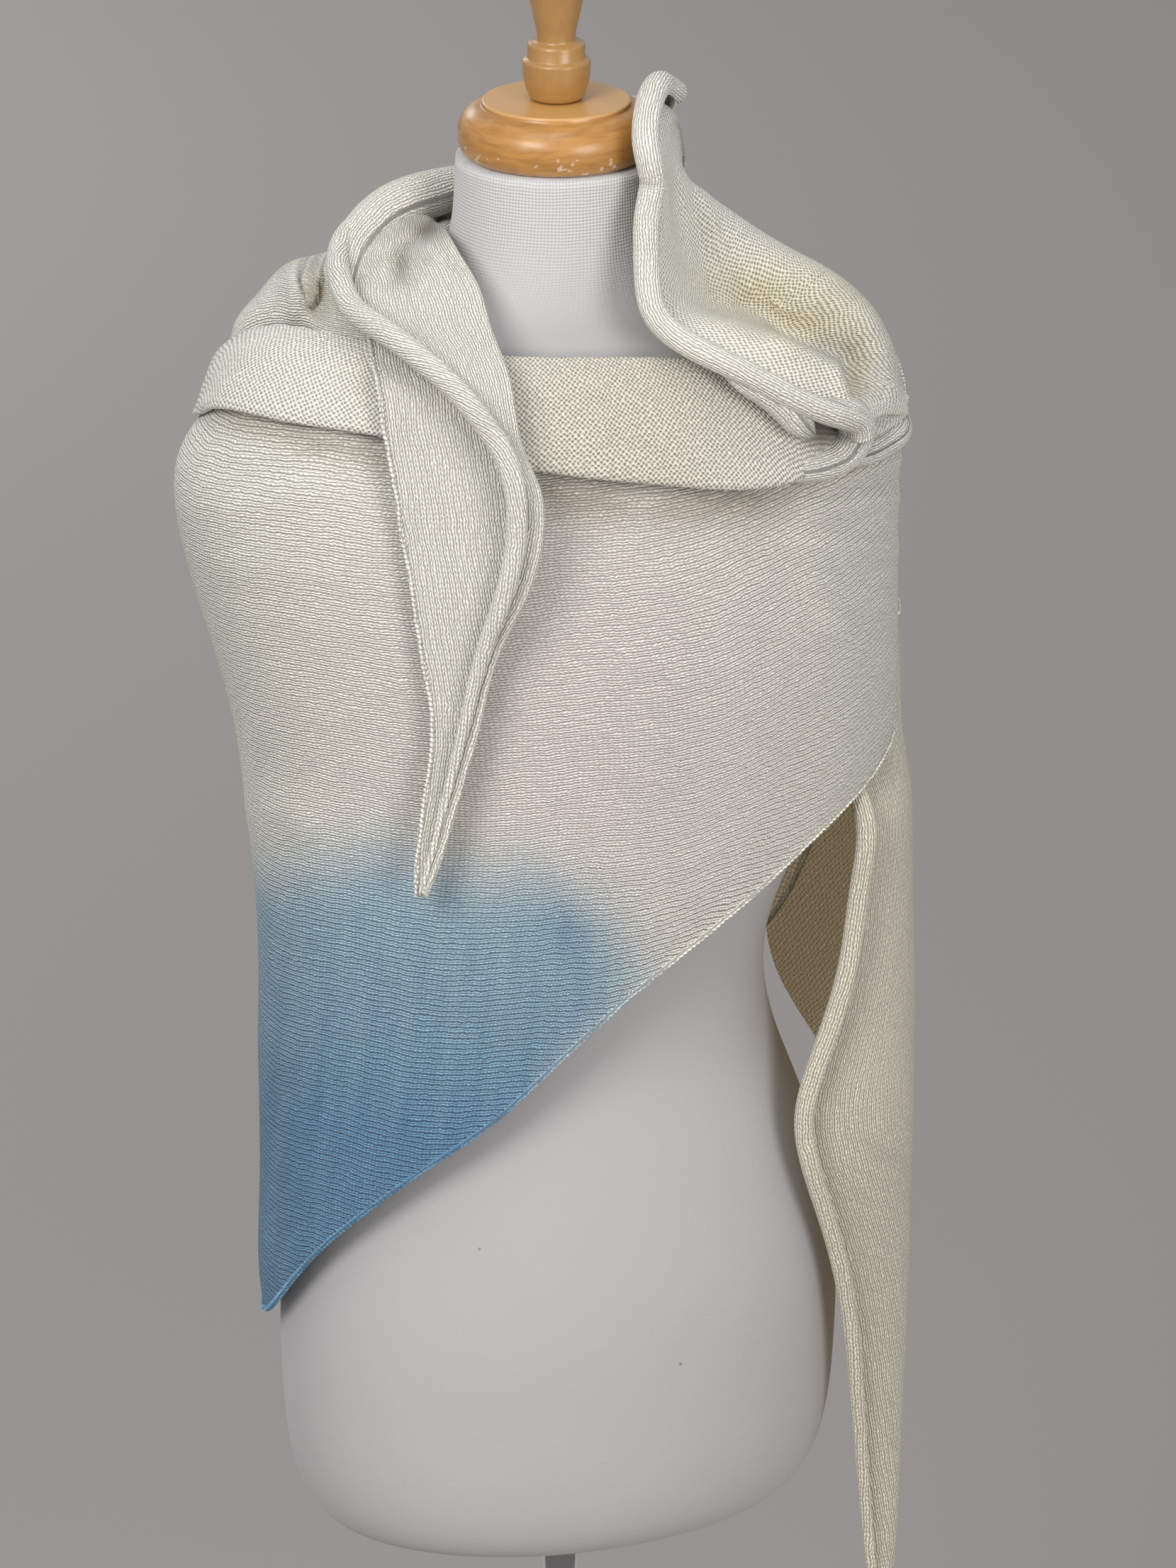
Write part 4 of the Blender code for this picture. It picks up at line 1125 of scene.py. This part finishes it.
def build_band(purl):
    grid = band_grid(*BAND_MESH)
    columns = BAND_MESH[1]
    share = shares(columns)[None, :]
    outer = step_between(0.4, 0.55, share) * step_between(0, 0.12, 1 - share)
    grid = raised(grid, wavy(grid, 0.9) * outer)
    along, across = flat_lengths(grid)
    middle = along[:, BAND_MIDDLE][:, None] * np.ones((1, columns))
    px = seen(grid)[0]
    thin = step_between(*BAND_THINS, px) * (1 - 0.9 * step_between(*BAND_THICKENS, px))
    colours = blend_colours(plain_tone(grid) * 0.86, BAND_TONE, thin)
    # Painted shade: dark tan in the hollow at the band's right end.
    colours = blend_colours(colours, SHADE_TAN * 0.32, np.clip(1.3 * patch(grid, BAND_SHADE), 0, 1))
    band = add_knit("cowl_fold", grid, [purl], "cowl_band", colours, (across, middle), gaps=0.0)
    return band


def build_shoulder(knit):
    points = shoulder_grid(*SHOULDER_MESH)
    points = raised(points, creases(points, SHOULDER_CREASES))
    # Painted shade: tan in the crescent pocket of the shoulder fold.
    dark = tinted(points, SHADE_TAN * 0.85, patch(points, SHOULDER_SHADE))
    shoulder = add_lengthwise("shoulder_turn", points, [knit], "shoulder_fold", dark)


def build_short_end(knit):
    points = tail_grid(*TAIL_MESH)
    tail = add_lengthwise("short_end", points, [knit], "front_tail")
    edge = add_chain("short_end_chain", points[:, 0], 2.3, knit, chain_tone)
    return tail


def build_short_end_roll(knit, tail):
    """The layer over the short end, with a pocket sunk beside the neck along the line of sight."""
    points = tail_roll_grid(*TAIL_ROLL_MESH)
    sunk = -creases(points, POCKET_CREASES)[..., None] * SIGHT
    points = points + sunk * away_from_roll(points.shape[1], TAIL_ROLL_MESH[2])[..., None]
    # Painted shade: dark tan in the pocket beside the neck.
    shade = patch(points, POCKET_SHADE) + 0.8 * patch(points, POCKET_END_SHADE)
    dark = tinted(points, SHADE_TAN * 0.48, np.clip(shade, 0, 1))
    layer = add_lengthwise("short_end_roll", points, [knit], "tail_roll", dark)
    beside = [add_tube("neck_roll", NECK_ROLL, knit), add_tube("neck_tuck", NECK_TUCK, knit)]


def build_collar(knit, purl):
    points = collar_grid(*COLLAR_MESH)
    rolled = COLLAR_MESH[2] + 2
    points = raised(points, creases(points, COLLAR_CREASES) * away_from_roll(points.shape[1], rolled))
    collar = add_lengthwise("collar_stand", points, [purl, knit], "collar", collar_tone(points),
                            gaps=0.3, rolled=rolled)
    roll_end = add_tube("collar_roll_end", ROLL_END, knit)
    ends = [add_tube("collar_curl", CURL, knit), add_tube("shoulder_twist", TWIST, knit), roll_end]
    return collar


def build_neck_turn(knit, collar):
    neck = add_lengthwise("neck_turn", neck_back_grid(*NECK_MESH), [knit], "neck_back")


def build_long_end(knit, lit):
    points = side_grid(*SIDE_MESH)
    # Painted warm light through the wool on the inner face, faded in from the roll.
    inner = 1 + (INNER_LIGHT_TINT - 1) * away_from_roll(points.shape[1], SIDE_MESH[2] + 1)[..., None]
    side = add_lengthwise("long_end", points, [knit, lit], "side_tail", plain_tone(points) * SIDE_TONE,
                          inner_from=SIDE_INNER, inside=inner)


def build_wrap():
    knit = knit_material("knit_side", "knit", 1.2, 0.60, 1.24)
    purl = knit_material("purl_side", "purl", 1.4, 0.32, 1.26)
    # The inner side glows a little: painted light for daylight that comes through the wool.
    lit = knit_material("inner_glow_side", "purl", 1.2, 0.44, 1.13, 0.13)
    front = build_front_wing(knit)
    build_back_wing(knit, lit)
    band = build_band(purl)
    build_shoulder(knit)
    build_short_end_roll(knit, build_short_end(knit))
    build_neck_turn(knit, build_collar(knit, purl))
    build_long_end(knit, lit)


def torso_rings(sides, heights):
    table = np.array(TORSO, float)
    rows = evenly(table, chord_knots(table[:, :2]), heights)
    angles = np.linspace(0, 360, sides, endpoint=False)
    rings = []
    for height, half_width, half_depth, shift in rows:
        bust = BUST_EXTRA * math.exp(-((height - BUST_HEIGHT) / BUST_SPREAD) ** 2)
        depth = np.where(angles > 180, half_depth + bust, half_depth)
        x, y = turned(*oval(half_width, depth, angles))
        rings.append(np.stack([x + shift, y, np.full(sides, height)], -1))
    return np.array(rings)


def turned_rings(profile, centre, sides):
    """Rings of a turned solid, one for each row of its profile."""
    angles = np.linspace(0, 2 * math.pi, sides, endpoint=False)
    rings = []
    for radius, height in profile:
        x = centre + radius * np.cos(angles)
        rings.append(np.stack([x, radius * np.sin(angles), np.full(sides, height)], -1))
    return np.array(rings)


def spline_profile(profile, count):
    """A profile read along a smooth curve, so that its curves have no flats."""
    table = np.array(profile, float)
    return [tuple(row) for row in evenly(table, chord_knots(table), count)]


def add_solid(name, rings, material, node, slot):
    """A solid of the form, whose stitch places are as wide as its top ring."""
    reach = 2 * math.pi * np.hypot(rings[-1, :, 0], rings[-1, :, 1]).mean()
    add_rings(name, rings, reach, chord_knots(rings[:, 0]), material, node, slot)


def build_form():
    add_solid("jersey_form", torso_rings(180, 200), jersey_material(), "torso", "jersey")
    wood = wood_material("cap_wood", (0.50, 0.245, 0.062), (0.36, 0.16, 0.038), (1.0, 1.0, 5.0),
                         (0.66, 0.38, 0.13))
    pale = wood_material("finial_wood", (0.46, 0.255, 0.082), (0.33, 0.165, 0.045), (9.0, 9.0, 1.0),
                         (0.40, 0.21, 0.063))
    cap = spline_profile(CAP_RIM, 60) + list(CAP_DISC)
    add_solid("turned_cap", turned_rings(cap, 0.0, 128), wood, "neck_cap", "wood")
    finial = spline_profile(FINIAL_BOWL, 30) + list(FINIAL_STEP) + spline_profile(FINIAL_SHAFT, 50)
    add_solid("turned_finial", turned_rings(finial, 0.0, 96), pale, "finial", "pale_wood")
    chrome = metal_material("pole_chrome", (0.72, 0.72, 0.73), 0.12)
    pole = ((POLE_RADIUS, BASE_RISE + 0.3), (POLE_RADIUS, TORSO_BOTTOM - 0.3))
    add_solid("pole_tube", turned_rings(pole, POLE_X, 64), chrome, "pole", "chrome")
    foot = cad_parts["base"].data.materials
    foot.clear()
    foot.append(metal_material("foot_metal", (0.5, 0.5, 0.51), 0.35))


def build_light(name, place, target, size, power, colour):
    data = bpy.data.lights.new(name, "AREA")
    data.shape = "DISK"
    data.size = size
    data.energy = power
    data.color = colour
    light = linked(name, data)
    light.location = place
    way = np.array(target) - np.array(place)
    light.rotation_euler = (math.acos(-way[2] / np.linalg.norm(way)), 0.0, math.atan2(-way[0], way[1]))


def build_studio():
    pale = {"Roughness": 0.9, "Base Color": (0.36, 0.338, 0.325), "Specular IOR Level": 0.1}
    mesh = bpy.data.meshes.new("floor")
    corners = [(FLOOR_REACH * x, FLOOR_REACH * y, 0) for x, y in ((-1, -1), (1, -1), (1, 1), (-1, 1))]
    mesh.from_pydata(corners, [], [(0, 1, 2, 3)])
    mesh.materials.append(Look("pale_floor", pale).material)
    linked("floor", mesh)
    world = bpy.data.worlds.new("studio")
    world.use_nodes = True
    world.node_tree.nodes["Background"].inputs["Color"].default_value = (0.95, 0.97, 1.0, 1.0)
    world.node_tree.nodes["Background"].inputs["Strength"].default_value = 0.47
    bpy.context.scene.world = world
    for light in LIGHTS:
        build_light(*light)


def build_camera():
    data = bpy.data.cameras.new("camera")
    data.sensor_fit = "VERTICAL"
    data.sensor_height = 36.0
    data.lens = FOCAL_PIXELS / PHOTO_HEIGHT * data.sensor_height
    data.clip_end = 100
    camera = linked("camera", data)
    camera.location = (CAMERA_X, CAMERA_Y, CAMERA_Z)
    camera.rotation_euler = (math.radians(90) - CAMERA_DOWN, 0, 0)
    bpy.context.scene.camera = camera


build_form()
build_wrap()
build_studio()
build_camera()
bpy.context.scene.view_settings.view_transform = "Standard"
bpy.context.scene.view_settings.look = "None"
